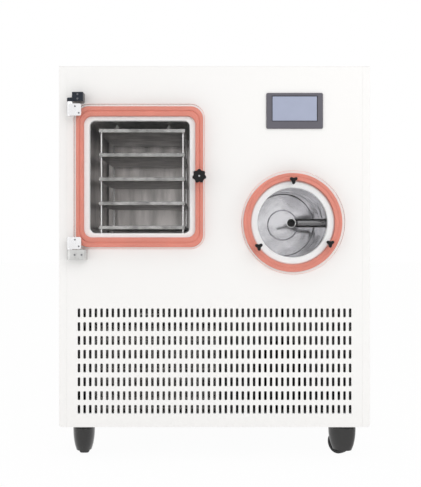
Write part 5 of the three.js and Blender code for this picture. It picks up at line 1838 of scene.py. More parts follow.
@dataclass
class Trap(Assembly):
    """The cold trap: vessel, flange, seal, clear cover, thumb screws and pipes."""

    bore: float = 0.112
    wall: float = 0.004
    flange: float = 0.157
    flange_sheet: float = 0.010
    boss: float = 0.054
    boss_rise: float = 0.0016
    fillet: float = 0.003
    seal: Point = (0.158, 0.134)
    bead: float = 0.0019
    cover: float = 0.165
    thumb_circle: float = 0.134
    thumb_angles: tuple[float, ...] = (90.0, 215.0, 330.0)
    thumb: Point = (0.0135, 0.00675)
    thumb_hub: float = 0.007
    thumb_shank: float = 0.003
    suction: Point = (0.014, 0.012)
    suction_bend: float = 0.028
    suction_run: float = -0.29155
    duct: Point = (0.032, 0.029)
    duct_place: Point = (-0.03855, 0.790)
    drain_y: float = -0.06855

    def build(self) -> None:
        """Builds the trap's pieces."""
        box = Box.of("trap_vessel")
        self.centre = (box.middle.x, box.middle.z)
        self.vessel(box)
        seal = Box.of("trap_gasket")
        self.add("trap_seal", self.seal_ring(seal), SILICONE, sharp=70, replaces=("trap_gasket",))
        lip = circle(*self.centre, self.seal[1] - self.bead, 128)
        line = Axis.Y.ring(lip, box.low.y - self.bead * 0.6)
        self.add("trap_seal_lip", Form.swept(line, circle(0, 0, self.bead, 8), closed=True),
                 SEAL_LINE, sharp=60)
        cover = Box.of("trap_cover")
        self.add("trap_pane", self.pane(cover), CLEAR, sharp=25, replaces=("trap_cover",))
        for i, angle in enumerate(self.thumb_angles):
            self.thumb_screw(f"trap_knob_{i + 1}", angle)
        self.pipes()
        self.add_sheet("saddle_sheet", "trap_saddle", ZINC)

    def vessel(self, box: Box) -> None:
        """The drawn vessel with its pressed boss, and the flange round its mouth."""
        front, back = box.low.y, box.high.y
        floor = back - self.wall
        behind = front + self.flange_sheet
        bore, outer = self.bore, self.bore + self.wall
        corner = [(bore - b, floor - a) for a, b in reversed(quarter_round(self.fillet, 8))]
        rise, edge = self.boss_rise, self.boss
        profile = [
            (0, floor - rise), (edge - 0.003, floor - rise), (edge - 0.001, floor - rise * 0.75),
            (edge + 0.0005, floor - rise * 0.25), (edge + 0.003, floor), *corner,
            (bore, behind), (outer, behind), (outer, back), (0, back),
        ]
        x, z = self.centre
        pipe = self.suction[0] + 0.0004
        cuts = [
            Form.rod(Axis.X, self.duct_place, self.duct[1], 40, x - outer - 0.01, x),
            Form.rod(Axis.X, (self.suction_run, z), pipe, 40, x, x + outer + 0.01),
            Form.rod(Axis.Z, (x, self.drain_y), 0.007, 28, z - outer - 0.01, z),
        ]
        self.add("trap_bowl", Form.turned(profile, Axis.Y, self.centre, 128).minus(*cuts),
                 TRAP_STEEL, sharp=45, replaces=("trap_vessel",))
        ring = Form.turned(
            [(bore, behind), (bore, front + 0.0016), (bore + 0.0005, front + 0.0005),
             (bore + 0.0016, front), (self.flange - 0.0008, front), (self.flange, front + 0.0008),
             (self.flange, behind)],
            Axis.Y, self.centre, 128,
        )
        ring = ring.minus(*self.thumb_holes(front - OVERCUT, front + 0.0073))
        self.add("trap_flange", ring, RING_STEEL, sharp=45)
        weld = Axis.Y.ring(circle(*self.centre, bore + 0.0001, 96), behind)
        self.add("trap_weld", Form.swept(weld, circle(0, 0, 0.0010, 8), closed=True), POLISHED,
                 sharp=60)

    def thumb_place(self, angle: float) -> Point:
        """Where the thumb screw at an angle in degrees stands."""
        turn, reach = math.radians(angle), self.thumb_circle
        return (self.centre[0] + reach * math.cos(turn), self.centre[1] + reach * math.sin(turn))

    def thumb_holes(self, start: float, end: float) -> list[Form]:
        """Drills for the thumb screws' holes, from one depth to another."""
        return [
            Form.rod(Axis.Y, self.thumb_place(angle), self.thumb_shank + PLAY, 24, start, end)
            for angle in self.thumb_angles
        ]

    def seal_ring(self, box: Box) -> Form:
        """The round seal with a shallow groove and a notch for each thumb screw."""
        outer, inner = self.seal
        near, far = box.low.y, box.high.y

        def at(share: float, depth: float) -> Point:
            """A point of the section."""
            return (outer + (inner - outer) * share, near + depth)

        section = [
            at(0, far - near), at(0, 0.0030), at(0.02, 0.0010), at(0.07, 0), at(0.40, 0),
            at(0.45, 0.0016), at(0.55, 0.0016), at(0.60, 0), at(0.93, 0), at(0.98, 0.0010),
            at(1, 0.0030), at(1, far - near),
        ]
        ring = Form.turned(section, Axis.Y, self.centre, 128)
        return ring.minus(*self.thumb_holes(near - OVERCUT, far + OVERCUT))

    def pane(self, box: Box) -> Form:
        """The round clear cover with broken edges and three clearance holes."""
        near, far, radius = box.low.y, box.high.y, self.cover
        broken = quarter_round(0.0016, 4)
        profile = [
            (0, near), *((radius - a, near + b) for a, b in broken),
            *((radius - b, far - a) for a, b in broken), (0, far),
        ]
        holes = self.thumb_holes(near - 0.01, far + 0.01)
        return Form.turned(profile, Axis.Y, self.centre, 160).minus(*holes)

    def thumb_screw(self, node: str, angle: float) -> None:
        """One three-lobed thumb screw with its steel shank.

        Args:
            node: The screw's node, which is its body too.
            angle: Its angle round the trap, in degrees.
        """
        box = Box.of(node)
        near, far = box.low.y, box.high.y
        tip, valley = self.thumb
        centre, phase = self.thumb_place(angle), math.radians(angle) + math.pi / 3
        grip_back, hub_back = near + 0.012, near + 0.017

        def line(inset: float, y: float) -> list[Vector]:
            """The grip's outline, drawn in by an inset."""
            outline = lobed(*centre, tip - inset, valley - inset * 0.8, 3, phase, 20)
            return Axis.Y.ring(outline, y)

        front = [(0.0026, 0), (0.0013, 0.0004), (0.0005, 0.0013), (0, 0.0028)]
        rear = [(0, 0.0016), (0.0004, 0.0006), (0.0013, 0)]
        rings = [line(inset, near + depth) for inset, depth in front]
        rings += [line(inset, grip_back - depth) for inset, depth in rear]
        hub = Form.spindle(
            Axis.Y, centre, self.thumb_hub, 36, grip_back - 0.001, hub_back, 0.0005
        )
        self.add(f"{node}_grip", Form().loft(rings).with_parts(hub), BLACK_PLASTIC, sharp=50,
                 body=node, replaces=(node,))
        shank = Form.spindle(Axis.Y, centre, self.thumb_shank, 24, hub_back - 0.001, far, 0.0005)
        self.add(f"{node}_shank", shank, POLISHED, sharp=40, body=node)

    def pipes(self) -> None:
        """The suction pipe across the trap and the vapour duct from the chamber."""
        box, duct = Box.of("suction_pipe"), Box.of("vapour_duct")
        x, z = self.centre
        side = box.high.x - self.suction[0]
        path = bent(
            [Vector((x, box.low.y, z)), Vector((x, self.suction_run, z)),
             Vector((side, self.suction_run, z)), Vector((side, box.high.y, z))],
            self.suction_bend,
        )
        outside, bore = self.suction
        # The suction tube's dark steel is painted shade.
        self.add("suction_tube", Form.pipe(path, outside, bore + 0.0006, 48), TUBE_STEEL_PAINTED_SHADE, sharp=50,
                 replaces=("suction_pipe",))
        # The bore is a separate nearly black piece: painted shade inside the pipe.
        self.add("suction_bore", Form.pipe(path[:-1], bore + 0.0005, bore, 40), TUBE_BORE_PAINTED_SHADE, sharp=50)
        near = box.low.y
        # The mouth ring's near-white finish is a painted highlight on the pipe's rim.
        mouth = Form.turned(
            [(bore, near + 0.004), (bore, near + 0.0003), (bore + 0.0003, near),
             (outside, near), (outside + 0.0009, near + 0.0005), (outside + 0.0009, near + 0.004)],
            Axis.Y, self.centre, 48,
        )
        self.add("suction_mouth", mouth, MOUTH_STEEL_PAINTED_HIGHLIGHT, sharp=40)
        run = [Vector((duct.low.x, duct.middle.y, duct.middle.z)),
               Vector((x - self.bore * 0.9, duct.middle.y, duct.middle.z))]
        around = self.bore + self.wall + PLAY
        wall = Form.rod(Axis.Y, (x, z), around, 96, duct.low.y - 0.05, duct.high.y + 0.05)
        self.add("vapour_tube", Form.pipe(run, *self.duct, 48).minus(wall), TRAP_STEEL, sharp=50,
                 replaces=("vapour_duct",))


def bent(corners: Sequence[Vector], radius: float, steps: int = 10) -> list[Vector]:
    """A path through corners with each bend rounded.

    Args:
        corners: The path's ends and corners.
        radius: The bends' radius.
        steps: The number of chords in a bend.

    Returns:
        The path's points.
    """
    path = [corners[0]]
    for before, corner, after in zip(corners, corners[1:], corners[2:], strict=False):
        into, out = (corner - before).normalized(), (after - corner).normalized()
        reach = radius * math.tan(into.angle(out) / 2)
        start = corner - into * reach
        centre = start + (out - into * into.dot(out)).normalized() * radius
        for i in range(steps + 1):
            turn = into.angle(out) * i / steps
            spoke = (start - centre) * math.cos(turn) + into * radius * math.sin(turn)
            path.append(centre + spoke)
    path.append(corners[-1])
    return path


@dataclass
class Screen(Assembly):
    """The touch screen: a moulded frame with a sloped rim, and its glass."""

    frame: Triple = (0.182, 0.115, 0.005)
    body: Point = (0.084, 0.0505)
    glass: Point = (0.146, 0.0815)
    rim: float = 0.0022
    border: float = 0.0019
    bead: float = 0.0003

    def build(self) -> None:
        """Builds the frame and the glass."""
        housing, glass = Box.of("screen_housing"), Box.of("screen_glass")
        x, z = housing.middle.x, housing.middle.z
        near = housing.low.y
        back = near + 0.006

        def line(inset: float, y: float) -> list[Vector]:
            """The frame's outline, drawn in by an inset."""
            return Axis.Y.ring(drawn_in((x, z), self.frame, inset, 6, 0.8), y)

        rings = [line(0, back), line(0, near + 0.0030), line(0.0006, near + 0.0016),
                 line(self.rim, near + 0.0003), line(self.rim + 0.0009, near)]
        half, tall = self.body
        body = Form.block(
            (x - half, back - 0.0005, z - tall), (x + half, housing.high.y, z + tall)
        )
        gx, gz = glass.middle.x, glass.middle.z
        width, height = self.glass
        recess = Form.prism(
            rectangle(gx, gz, width + 2 * PLAY, height + 2 * PLAY), Axis.Y,
            near - OVERCUT, near + 0.0043,
        )
        self.add("screen_frame", Form().loft(rings).plus(body).minus(recess), BEZEL,
                 Rounding(0.0004, 2), replaces=("screen_housing",))
        outline, face = rectangle(gx, gz, width, height), glass.low.y
        pane = Form.prism(outline, Axis.Y, face + self.bead, glass.high.y)
        self.add("screen_pane", pane, SCREEN, Rounding(0.0004, 2), replaces=("screen_glass",))
        # The black seal round the glass is partly painted shade: it also stands for the recess's
        # shadow line.
        inside = rectangle(gx, gz, width - 2 * self.border, height - 2 * self.border)
        bead = Form.prism(outline, Axis.Y, face, face + self.bead)
        window = Form.prism(inside, Axis.Y, face - OVERCUT, glass.high.y)
        self.add("screen_seal", bead.minus(window), SEAL_BLACK_AND_SHADE)


@dataclass
class Caster(Assembly):
    """One caster: a bolted plate with its race, an egg-shaped hood and a solid wheel."""

    corner: str
    turn: float = 0.0
    wheel: float = 0.0375
    width: float = 0.030
    trail: float = 0.028
    gap: float = 0.003
    side_gap: float = 0.001
    head: float = 0.021
    squeeze: float = 0.7
    shift: float = 0.015
    stem: float = 0.008
    axle: float = 0.004
    race: float = 0.026
    profile: tuple[Point, ...] = (
        (-0.0020, 0.080), (0.0055, 0.062), (0.0108, 0.038), (0.0125, 0.018), (0.0125, 0.006),
        (0.0085, 0.0),
    )

    def build(self) -> None:
        """Builds the caster about its own axis, then puts it in its place."""
        plate = Box.of(f"caster_plate_{self.corner}")
        self.place = Matrix.Translation((plate.middle.x, plate.middle.y, 0)) @ Matrix.Rotation(
            math.radians(self.turn), 4, "Z"
        )
        self.top = 2 * self.wheel + self.head
        self.plate_and_race(plate)
        self.hood(plate)
        self.roller()

    def plate_and_race(self, plate: Box) -> None:
        """The plate, its race and four bolts."""
        low, high = plate.high.z - 0.0035, plate.high.z
        middle, bore, foot = (plate.middle.x, plate.middle.y), self.stem + 2 * PLAY, plate.low.z
        outline = rounded(*middle, plate.size.x, plate.size.y, 0.006, 6)
        race = Form.turned(
            [(bore, low), (bore, foot), (self.race - 0.0015, foot), (self.race, foot + 0.0015),
             (self.race, low)],
            Axis.Z, middle, 64,
        )
        sheet = Form.prism(outline, Axis.Z, low, high)
        sheet = sheet.minus(Form.rod(Axis.Z, middle, bore, 32, foot, low + 0.002))
        self.add(f"caster_top_{self.corner}", sheet, POLISHED, Rounding(0.0006, 2),
                 replaces=(f"caster_plate_{self.corner}",))
        self.add(f"caster_race_{self.corner}", race, POLISHED, sharp=40)
        reach = plate.size.x / 2 - 0.009
        spots = [
            (middle[0] + a * reach, middle[1] + b * reach, low) for a in (-1, 1) for b in (-1, 1)
        ]
        head = socket_head(0.0058, 0.0042, 0.0032)
        self.fasten(f"caster_bolts_{self.corner}", head, POLISHED, spots, DOWN)

    def hood(self, plate: Box) -> None:
        """The hood, open underneath for the wheel, with its stem and axle."""
        top = self.top
        wall = smooth([(self.wheel + beyond, top - depth) for beyond, depth in self.profile], 5)
        crown = [(wall[-1][0] * share, top) for share in (0.6, 0.0)]
        shell = Form.turned([(0, wall[0][1]), *wall, *crown], Axis.Z, (0, 0), 72)
        narrow = Matrix.Scale(self.squeeze, 4, (1, 0, 0))
        shell.moved(Matrix.Translation((0, self.shift, 0)) @ narrow)
        half = self.width / 2 + self.side_gap
        radius, hub = self.wheel + self.gap, (self.trail, self.wheel)
        pocket = Form.rod(Axis.X, hub, radius, 64, -half, half)
        way_out = Form.block(
            (-half, self.trail - radius + 0.001, wall[0][1] - 0.001),
            (half, self.trail + 2 * self.wheel, self.wheel),
        )
        body = f"swivel_{self.corner}"
        hood = shell.minus(pocket, way_out).moved(self.place)
        self.add(f"caster_hood_{self.corner}", hood, HOOD_PLASTIC, Rounding(0.0008, 2, 50),
                 sharp=40, body=body, replaces=(f"caster_yoke_{self.corner}",))
        stem = Form.spindle(Axis.Z, (0, 0), self.stem, 32, top - 0.002, plate.high.z - 0.0045)
        axle = Form.spindle(Axis.X, hub, self.axle, 28, -half - 0.002, half + 0.002)
        self.add(f"caster_pins_{self.corner}", stem.with_parts(axle).moved(self.place), POLISHED,
                 sharp=40, body=body)

    def roller(self) -> None:
        """The wheel: a rubber tyre on a ribbed centre."""
        half, radius = self.width / 2, self.wheel
        rim = radius * 0.74
        bore = self.axle + PLAY
        tyre = [
            (rim, -half), (radius - 0.0045, -half), (radius - 0.0016, -half + 0.0016),
            (radius - 0.0002, -half + 0.0055), (radius, -half + 0.009),
        ]
        centre = [
            (bore, -half), (0.010, -half), (0.0105, -half + 0.004), (rim - 0.004, -half + 0.004),
            (rim - 0.003, -half + 0.0006), (rim, -half + 0.0006),
        ]
        body, node = f"wheel_{self.corner}", f"caster_wheel_{self.corner}"
        rubber, core = (
            Form.turned(mirrored(profile), Axis.X, (self.trail, self.wheel), 72).moved(self.place)
            for profile in (tyre, centre)
        )
        self.add(f"caster_tyre_{self.corner}", rubber, TYRE, sharp=45, body=body, replaces=(node,))
        self.add(f"caster_centre_{self.corner}", core, BLACK_PLASTIC, sharp=40, body=body)


def smooth(points: Sequence[Point], steps: int) -> list[Point]:
    """A smooth curve through points, by Catmull and Rom's rule.

    Args:
        points: The points.
        steps: The number of chords between two of them.

    Returns:
        The curve's points.
    """
    padded = [points[0], *points, points[-1]]
    curve = []
    for a, b, c, d in zip(padded, padded[1:], padded[2:], padded[3:], strict=False):
        for i in range(steps):
            t = i / steps
            curve.append(tuple(
                0.5 * (2 * q + (r - p) * t + (2 * p - 5 * q + 4 * r - s) * t**2
                       + (3 * q - p - 3 * r + s) * t**3)
                for p, q, r, s in zip(a, b, c, d, strict=True)
            ))
    return [*curve, points[-1]]


@dataclass
class Machinery(Assembly):
    """What stands in the base and behind the screen: condenser, fan, compressor, electrical box."""

    fins: int = 84
    fin_sheet: float = 0.0007
    tubes: int = 10
    tube: float = 0.0048
    throat: float = 0.146
    shroud_sheet: float = 0.003
    strut: float = 0.014
    motor: Point = (0.034, 0.060)
    motor_depth: float = 0.050
    hub: Point = (0.030, 0.026)
    blades: int = 5
    pitch: float = 32.0
    pot: float = 0.092
    pot_floor: float = 0.014
    pot_bead: float = 0.120
    feet: float = 0.010

    def build(self) -> None:
        """Builds the machinery."""
        self.condenser(Box.of("condenser_coil"))
        self.shroud(Box.of("fan_shroud"))
        self.rotor(Box.of("fan_rotor"))
        self.compressor(Box.of("compressor"))
        self.electrics(Box.of("control_box"))

    def condenser(self, box: Box) -> None:
        """Thin fins on coiled tubes between two end plates."""
        low, high = box.low, box.high
        plate = 0.0015
        pitch = (box.size.x - 0.030) / (self.fins - 1)
        fin = Form.block(
            (0, low.y + 0.001, low.z + 0.002), (self.fin_sheet, high.y - 0.001, high.z - 0.002)
        )
        self.repeat("condenser_fins", fin, ALUMINIUM, (self.fins, 1), (low.x + 0.015, 0, 0),
                    ((pitch, 0, 0), (0, 0, 0)), replaces=("condenser_coil",))
        ends = [
            Form.block((x, low.y, low.z), (x + plate, high.y, high.z))
            for x in (low.x + 0.012, high.x - 0.012 - plate)
        ]
        self.add("condenser_ends", ends[0].with_parts(ends[1]), ZINC, SHEET_EDGE)
        rise = box.size.z / self.tubes
        turns = []
        for y in (box.middle.y - 0.010, box.middle.y + 0.010):
            path = []
            for i in range(self.tubes):
                z = low.z + rise * (i + 0.5)
                ends_x = [low.x + 0.006, high.x - 0.006]
                path += [Vector((x, y, z)) for x in (ends_x if i % 2 == 0 else ends_x[::-1])]
            bends = bent(path, rise * 0.34, 5)
            turns.append(Form.swept(bends, circle(0, 0, self.tube, 12)))
        self.add("condenser_tubes", turns[0].with_parts(turns[1]), TUBE_ALLOY, sharp=50)

    def shroud(self, box: Box) -> None:
        """The fan's shroud with its round throat, struts and motor."""
        x, z = box.middle.x, box.middle.z
        front, sheet = box.low.y, self.shroud_sheet
        throat, ring = self.throat, self.throat + self.shroud_sheet
        motor_front = front + self.motor_depth
        strut_back = motor_front + self.strut
        plate = Form.block((box.low.x, front, box.low.z), (box.high.x, front + sheet, box.high.z))
        plate = plate.minus(Form.rod(Axis.Y, (x, z), throat, 96, front - 0.01, front + 0.02))
        foot = front + 0.0005
        collar = Form.turned(
            [(throat, foot), (throat, strut_back), (ring, strut_back), (ring, foot)],
            Axis.Y, (x, z), 96,
        )
        half = self.strut / 2
        struts = [
            Form.block((x - ring, motor_front, z - half), (x + ring, strut_back, z + half)),
            Form.block((x - half, motor_front, z - ring), (x + half, strut_back, z + ring)),
        ]
        self.add("shroud_sheet", plate.plus(collar, *struts), BLACK_ENAMEL, SHEET_EDGE,
                 replaces=("fan_shroud",))
        radius, length = self.motor
        motor = Form.turned(
            [(0, motor_front - 0.0005), (radius - 0.003, motor_front - 0.0005),
             (radius, motor_front + 0.0025), (radius, motor_front + length - 0.006),
             (radius - 0.006, motor_front + length), (0, motor_front + length)],
            Axis.Y, (x, z), 48,
        )
        shaft = Form.spindle(
            Axis.Y, (x, z), 0.004, 24, motor_front - self.hub[1], motor_front
        )
        self.add("fan_motor", motor, BLACK_ENAMEL, sharp=40)
        self.add("fan_shaft", shaft, POLISHED, sharp=40)

    def rotor(self, box: Box) -> None:
        """Five curved blades on a hub."""
        x, z = box.middle.x, box.middle.z
        shroud = Box.of("fan_shroud")
        motor_front = shroud.low.y + self.motor_depth
        radius, length = self.hub
        back = motor_front - 0.002
        front = back - length
        middle = (front + back) / 2 - 0.006
        tip = self.throat - 0.009
        hub = Form.turned(
            [(0.0044, back), (0.0044, front + 0.004), (0, front + 0.004), (0, front),
             (radius - 0.006, front), (radius - 0.0015, front + 0.0025), (radius, front + 0.007),
             (radius, back)],
            Axis.Y, (x, z), 48,
        )
        blades = []
        for k in range(self.blades):
            rings = []
            for i in range(9):
                share = i / 8
                reach = 0.024 + (tip - 0.024) * share
                chord = 0.014 + 0.020 * math.sin(math.pi * min(share * 0.75, 0.62))
                angle = math.radians(self.pitch + 12 * (1 - share))
                section = []
                for side in (1, -1):
                    for j in range(7):
                        place = (j / 6 * 2 - 1) * side
                        camber = 0.004 * (1 - place * place) * (0.3 + share)
                        thick = 0.0013 * (1 - 0.55 * place * place) * side
                        section.append((place * chord, camber + thick))
                ring = []
                for along, lift in section:
                    u = along * math.cos(angle) - lift * math.sin(angle)
                    y = along * math.sin(angle) + lift * math.cos(angle)
                    ring.append(Vector((reach, y, u)))
                rings.append(ring)
            turn = Matrix.Rotation(math.tau * k / self.blades, 4, "Y")
            blades.append(Form().loft(rings).moved(Matrix.Translation((x, middle, z)) @ turn))
        self.add("fan_blades", hub.with_parts(*blades), BLACK_PLASTIC, sharp=50,
                 body=Body.FAN.value, replaces=("fan_rotor",))

    def compressor(self, box: Box) -> None:
        """The welded pot on its base plate, with grommets."""
        x, y = box.middle.x, box.middle.y
        low, high = box.low.z, box.high.z
        floor, r = low + self.pot_floor, self.pot
        bead = low + self.pot_bead
        wall = smooth(
            [(r - 0.014, floor), (r - 0.003, floor + 0.010), (r, floor + 0.023), (r, bead)], 3
        )
        crown = smooth([
            (r, bead + 0.013), (r, high - 0.075), (r - 0.003, high - 0.050),
            (r - 0.026, high - 0.016), (r - 0.060, high - 0.001), (0.0, high),
        ], 5)
        profile = [(0, floor), *wall, (r + 0.005, bead + 0.003), (r + 0.005, bead + 0.010), *crown]
        self.add("compressor_pot", Form.turned(profile, Axis.Z, (x, y), 96), BLACK_ENAMEL,
                 replaces=("compressor",))
        half = box.size.x / 2
        plate = Form.prism(rounded(x, y, 2 * half, 0.140, 0.012, 6), Axis.Z, floor - 0.004, floor)
        self.add("compressor_plate", plate, BLACK_ENAMEL, Rounding(0.0008, 2))
        spots = [(x + a * r, y + b * 0.056) for a in (-1, 1) for b in (-1, 1)]
        feet = [
            Form.turned(
                [(0, low), (self.feet - 0.001, low), (self.feet, low + 0.001),
                 (self.feet, floor - 0.005), (self.feet - 0.003, floor - 0.003),
                 (self.feet - 0.003, floor + 0.001), (self.feet - 0.001, floor + 0.002),
                 (self.feet - 0.001, floor + 0.003), (0, floor + 0.003)],
                Axis.Z, spot, 28,
            )
            for spot in spots
        ]
        self.add("compressor_grommets", feet[0].with_parts(*feet[1:]), TYRE, sharp=40)

    def electrics(self, box: Box) -> None:
        """The electrical box with its screwed lid."""
        lid = 0.006
        body = Form.block((box.low.x, box.low.y + lid, box.low.z), box.high)
        cover = Form.block(
            (box.low.x + 0.004, box.low.y, box.low.z + 0.004),
            (box.high.x - 0.004, box.low.y + lid + 0.0005, box.high.z - 0.004),
        )
        self.add("electrics_box", body.plus(cover), GREY_PAINT, Rounding(0.0015, 3),
                 replaces=("control_box",))
        inset = 0.012
        spots = [
            (a, box.low.y, b)
            for a in (box.low.x + inset, box.high.x - inset)
            for b in (box.low.z + inset, box.high.z - inset)
        ]
        head = pan_head(0.0036, 0.0022, 0.0020)
        self.fasten("electrics_screws", head, POLISHED, spots, FORWARDS)


@dataclass
class RearConnections(Assembly):
    """The vacuum port, the drain with its valve, and the mains cable gland."""

    port: Point = (0.020, 0.012)
    port_sleeve: Point = (0.01615, 0.0144)
    port_seat: float = 0.0137
    collar: Point = (0.024, 0.005)
    drain: Point = (0.009, 0.007)
    drain_bend: float = 0.030
    valve: float = 0.016
    lever: Triple = (0.060, 0.014, 0.003)
    lever_bore: float = 0.0043
    sleeve_start: float = 0.022
    sleeve_sheet: float = 0.0010
    gland: Triple = (0.013, 0.009, 0.005)

    def build(self) -> None:
        """Builds the connections."""
        self.back = Box.of("rear_panel").high.y
        self.vacuum_port(Box.of("vacuum_port"))
        self.drain_valve(Box.of("drain_valve_body"))
        self.cable_gland(Box.of("cable_gland"))

    def vacuum_port(self, box: Box) -> None:
        """A clamp flange on a collar, over the suction pipe's end."""
        end, start, back = box.high.y, box.low.y, self.back
        flange, bore = self.port
        sleeve, socket = self.port_sleeve
        seat, pipe_end = self.port_seat, back - 0.002
        profile = [
            (socket, start), (sleeve, start), (sleeve, back + 0.0003),
            (self.collar[0] - 0.0006, back + 0.0003), (self.collar[0], back + 0.0009),
            (self.collar[0], back + self.collar[1] - 0.001),
            (self.collar[0] - 0.001, back + self.collar[1]), (sleeve, back + self.collar[1]),
            (sleeve, end - 0.009), (sleeve + 0.0008, end - 0.0075), (flange, end - 0.004),
            (flange, end - 0.0006), (flange - 0.0006, end), (seat, end), (seat, end - 0.0015),
            (bore, end - 0.0015), (bore, pipe_end), (socket, pipe_end),
        ]
        self.add("vacuum_flange", Form.turned(profile, Axis.Y, (box.middle.x, box.middle.z), 64),
                 POLISHED, replaces=("vacuum_port",))

    def drain_valve(self, box: Box) -> None:
        """The drain pipe, the ball valve with its flats, and the red lever."""
        x, z = box.middle.x, box.low.z + self.valve
        end = box.high.y
        drain_y = box.low.y + self.drain[0]
        path = bent(
            [Vector((x, drain_y, box.high.z)), Vector((x, drain_y, z)), Vector((x, end, z))],
            self.drain_bend,
        )
        # The drain tube shares the tubes' dark steel, whose tone is painted shade.
        self.add("drain_tube", Form.pipe(path, *self.drain, 32), TUBE_STEEL_PAINTED_SHADE, sharp=50,
                 replaces=("drain_valve_body",))
        near, far = self.back + 0.004, end - 0.004
        bore, body = self.drain[0], self.valve
        barrel = Form.turned(
            [(bore, near + 0.008), (body - 0.002, near + 0.009), (body - 0.0005, near + 0.014),
             (body - 0.0005, far - 0.014), (body - 0.002, far - 0.009), (bore, far - 0.008)],
            Axis.Y, (x, z), 48,
        )
        nuts = [
            Form.rod(Axis.Y, (x, z), body, 6, a, b).minus(
                Form.rod(Axis.Y, (x, z), bore, 32, a - OVERCUT, b + OVERCUT)
            )
            for a, b in ((near, near + 0.010), (far - 0.010, far))
        ]
        middle = (near + far) / 2
        stem = Form.turned(
            [(0, z + body - 0.003), (0.0065, z + body - 0.003), (0.0065, z + body + 0.0012),
             (0.004, z + body + 0.0015), (0.004, z + body + 0.009), (0, z + body + 0.009)],
            Axis.Z, (x, middle), 32,
        )
        self.add("drain_valve_barrel", barrel.with_parts(*nuts, stem), BRASS,
                 Rounding(0.0006, 2, 40))
        self.drain_lever(Box.of("drain_valve_lever"), x, middle)

    def drain_lever(self, box: Box, x: float, y: float) -> None:
        """The steel lever with its red dipped sleeve.

        Args:
            box: The lever's box.
            x: The stem's place across.
            y: The stem's depth.
        """
        length, width, sheet = self.lever
        half, low = width / 2, box.low.z
        strip = Form.prism(
            [*arc(x, y, half, 90, 270, 16), *arc(x + length - half, y, half, -90, 90, 16)],
            Axis.Z, low, low + sheet,
        )
        bore = Form.rod(Axis.Z, (x, y), self.lever_bore, 28, low - OVERCUT, low + sheet + OVERCUT)
        self.add("drain_lever_strip", strip.minus(bore), POLISHED, Rounding(0.0005, 2),
                 body=Body.LEVER.value, replaces=("drain_valve_lever",))
        start, cover = x + self.sleeve_start, self.sleeve_sheet
        sleeve = Form.prism(
            [(start, y - half - cover), *arc(x + length - half, y, half + cover, -90, 90, 16),
             (start, y + half + cover)],
            Axis.Z, low - cover, low + sheet + cover,
        )
        self.add("drain_lever_sleeve", sleeve, RED_PLASTIC, Rounding(0.0009, 3),
                 body=Body.LEVER.value)

    def cable_gland(self, box: Box) -> None:
        """A hexagon gland with a domed nut outside and a lock nut inside."""
        x, z = box.middle.x, box.middle.z
        big, neck, bore = self.gland
        start, end, back = box.low.y, box.high.y, self.back
        lock = Form.rod(Axis.Y, (x, z), big, 6, start, start + 0.0078)
        hexagon = Form.rod(Axis.Y, (x, z), big, 6, back + PLAY, back + 0.006)
        body = Form.turned(
            [(neck - 0.0005, start), (neck, start + 0.0005), (neck, back + 0.006),
             (big - 0.0022, back + 0.0065), (big - 0.002, back + 0.013),
             (big - 0.0036, back + 0.018), (neck - 0.001, end - 0.0005), (neck - 0.002, end),
             (bore, end), (bore, start)],
            Axis.Y, (x, z), 48,
        )
        hole = Form.rod(Axis.Y, (x, z), bore, 32, start - OVERCUT, end + OVERCUT)
        self.add("gland_body", body.plus(lock, hexagon).minus(hole), BLACK_PLASTIC,
                 Rounding(0.0005, 2, 40), replaces=("cable_gland",))


# ---- Studio ----


PURE_WHITE = (1.0, 1.0, 1.0, 1.0)


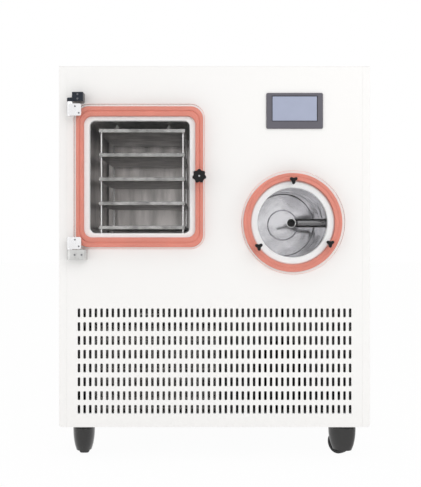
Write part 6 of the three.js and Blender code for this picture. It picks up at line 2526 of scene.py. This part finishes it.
@dataclass
class Studio:
    """The camera, the lamps, the world and the floor."""

    eye: Triple = (-0.013, -3.219, 0.693)
    lens: float = 65.6
    sensor: float = 36.0
    world_light: float = 0.80
    floor_glow: float = 0.96
    floor_reach: float = 30.0
    lamps: tuple[tuple[str, Triple, Triple, float, float], ...] = (
        ("key", (1.7, -3.2, 2.9), (0.0, -0.2, 0.7), 2.6, 27.0),
        ("fill", (-2.6, -2.6, 1.0), (0.0, -0.2, 0.5), 2.4, 9.0),
        ("low", (1.9, -2.9, 0.45), (0.0, -0.3, 0.25), 0.5, 2.5),
    )

    def build(self) -> None:
        """Builds the whole studio."""
        bpy.context.scene.view_settings.view_transform = "Standard"
        self.camera()
        self.world()
        for lamp in self.lamps:
            self.lamp(*lamp)
        self.floor()
        LOG.info("studio: camera, world, lamps and floor")

    def camera(self) -> None:
        """A level camera in front of the machine."""
        data = bpy.data.cameras.new("camera")
        data.lens = self.lens
        data.sensor_width = self.sensor
        data.sensor_fit = "AUTO"
        camera = linked("camera", data)
        camera.location = self.eye
        camera.rotation_euler = (math.radians(90), 0, 0)
        bpy.context.scene.camera = camera

    def world(self) -> None:
        """A white world that lights less strongly than it shows."""
        world = bpy.data.worlds.new("studio")
        shader = Shader(world)
        seen = shader.seen()
        strength = seen * (1 - self.world_light) + self.world_light
        glow = shader.term("ShaderNodeBackground", {}, {"Color": PURE_WHITE, "Strength": strength})
        shader.node("ShaderNodeOutputWorld", {}, {"Surface": glow})
        bpy.context.scene.world = world

    def lamp(
        self, name: str, place: Sequence[float], target: Sequence[float], size: float, power: float
    ) -> None:
        """A square area lamp that faces a point.

        Args:
            name: The lamp's name.
            place: Where it hangs.
            target: The point that it faces.
            size: Its side.
            power: Its power in watts.
        """
        data = bpy.data.lights.new(name, "AREA")
        data.shape = "SQUARE"
        data.size = size
        data.energy = power
        lamp = linked(name, data)
        lamp.location = place
        lamp.rotation_euler = (Vector(target) - Vector(place)).to_track_quat("-Z", "Y").to_euler()

    def floor(self) -> None:
        """A pale floor that keeps the machine's shadow."""
        mesh = bpy.data.meshes.new("floor")
        reach = self.floor_reach
        mesh.from_pydata(
            [(-reach, -reach, 0), (reach, -reach, 0), (reach, reach, 0), (-reach, reach, 0)], [],
            [(0, 1, 2, 3)],
        )
        shader = Shader(bpy.data.materials.new("studio_floor"))
        paint = shader.surface(
            {"Base Color": PURE_WHITE, "Roughness": 0.9, "Specular IOR Level": 0.0}
        )
        glow = shader.term("ShaderNodeEmission", {}, {"Color": PURE_WHITE, "Strength": 1.0})
        factor = shader.seen() * self.floor_glow
        both = shader.term("ShaderNodeMixShader", {}, {0: factor, 1: paint, 2: glow})
        mesh.materials.append(shader.done(both))
        floor = linked("floor", mesh)


# ---- The machine ----


def main() -> None:
    """Builds the machine and its studio."""
    logging.basicConfig(level=logging.INFO, format="%(name)s: %(message)s")
    Studio().build()
    assemblies: list[Assembly] = [
        Cabinet(), VentPanel(), Chamber(), Shelves(), Door(), Trap(), Screen(),
        *(Caster(corner, CASTER_TURNS.get(corner, 0.0)) for corner in CORNERS),
        Machinery(), RearConnections(),
    ]
    for assembly in assemblies:
        assembly.build()


if __name__ == "__main__":
    main()
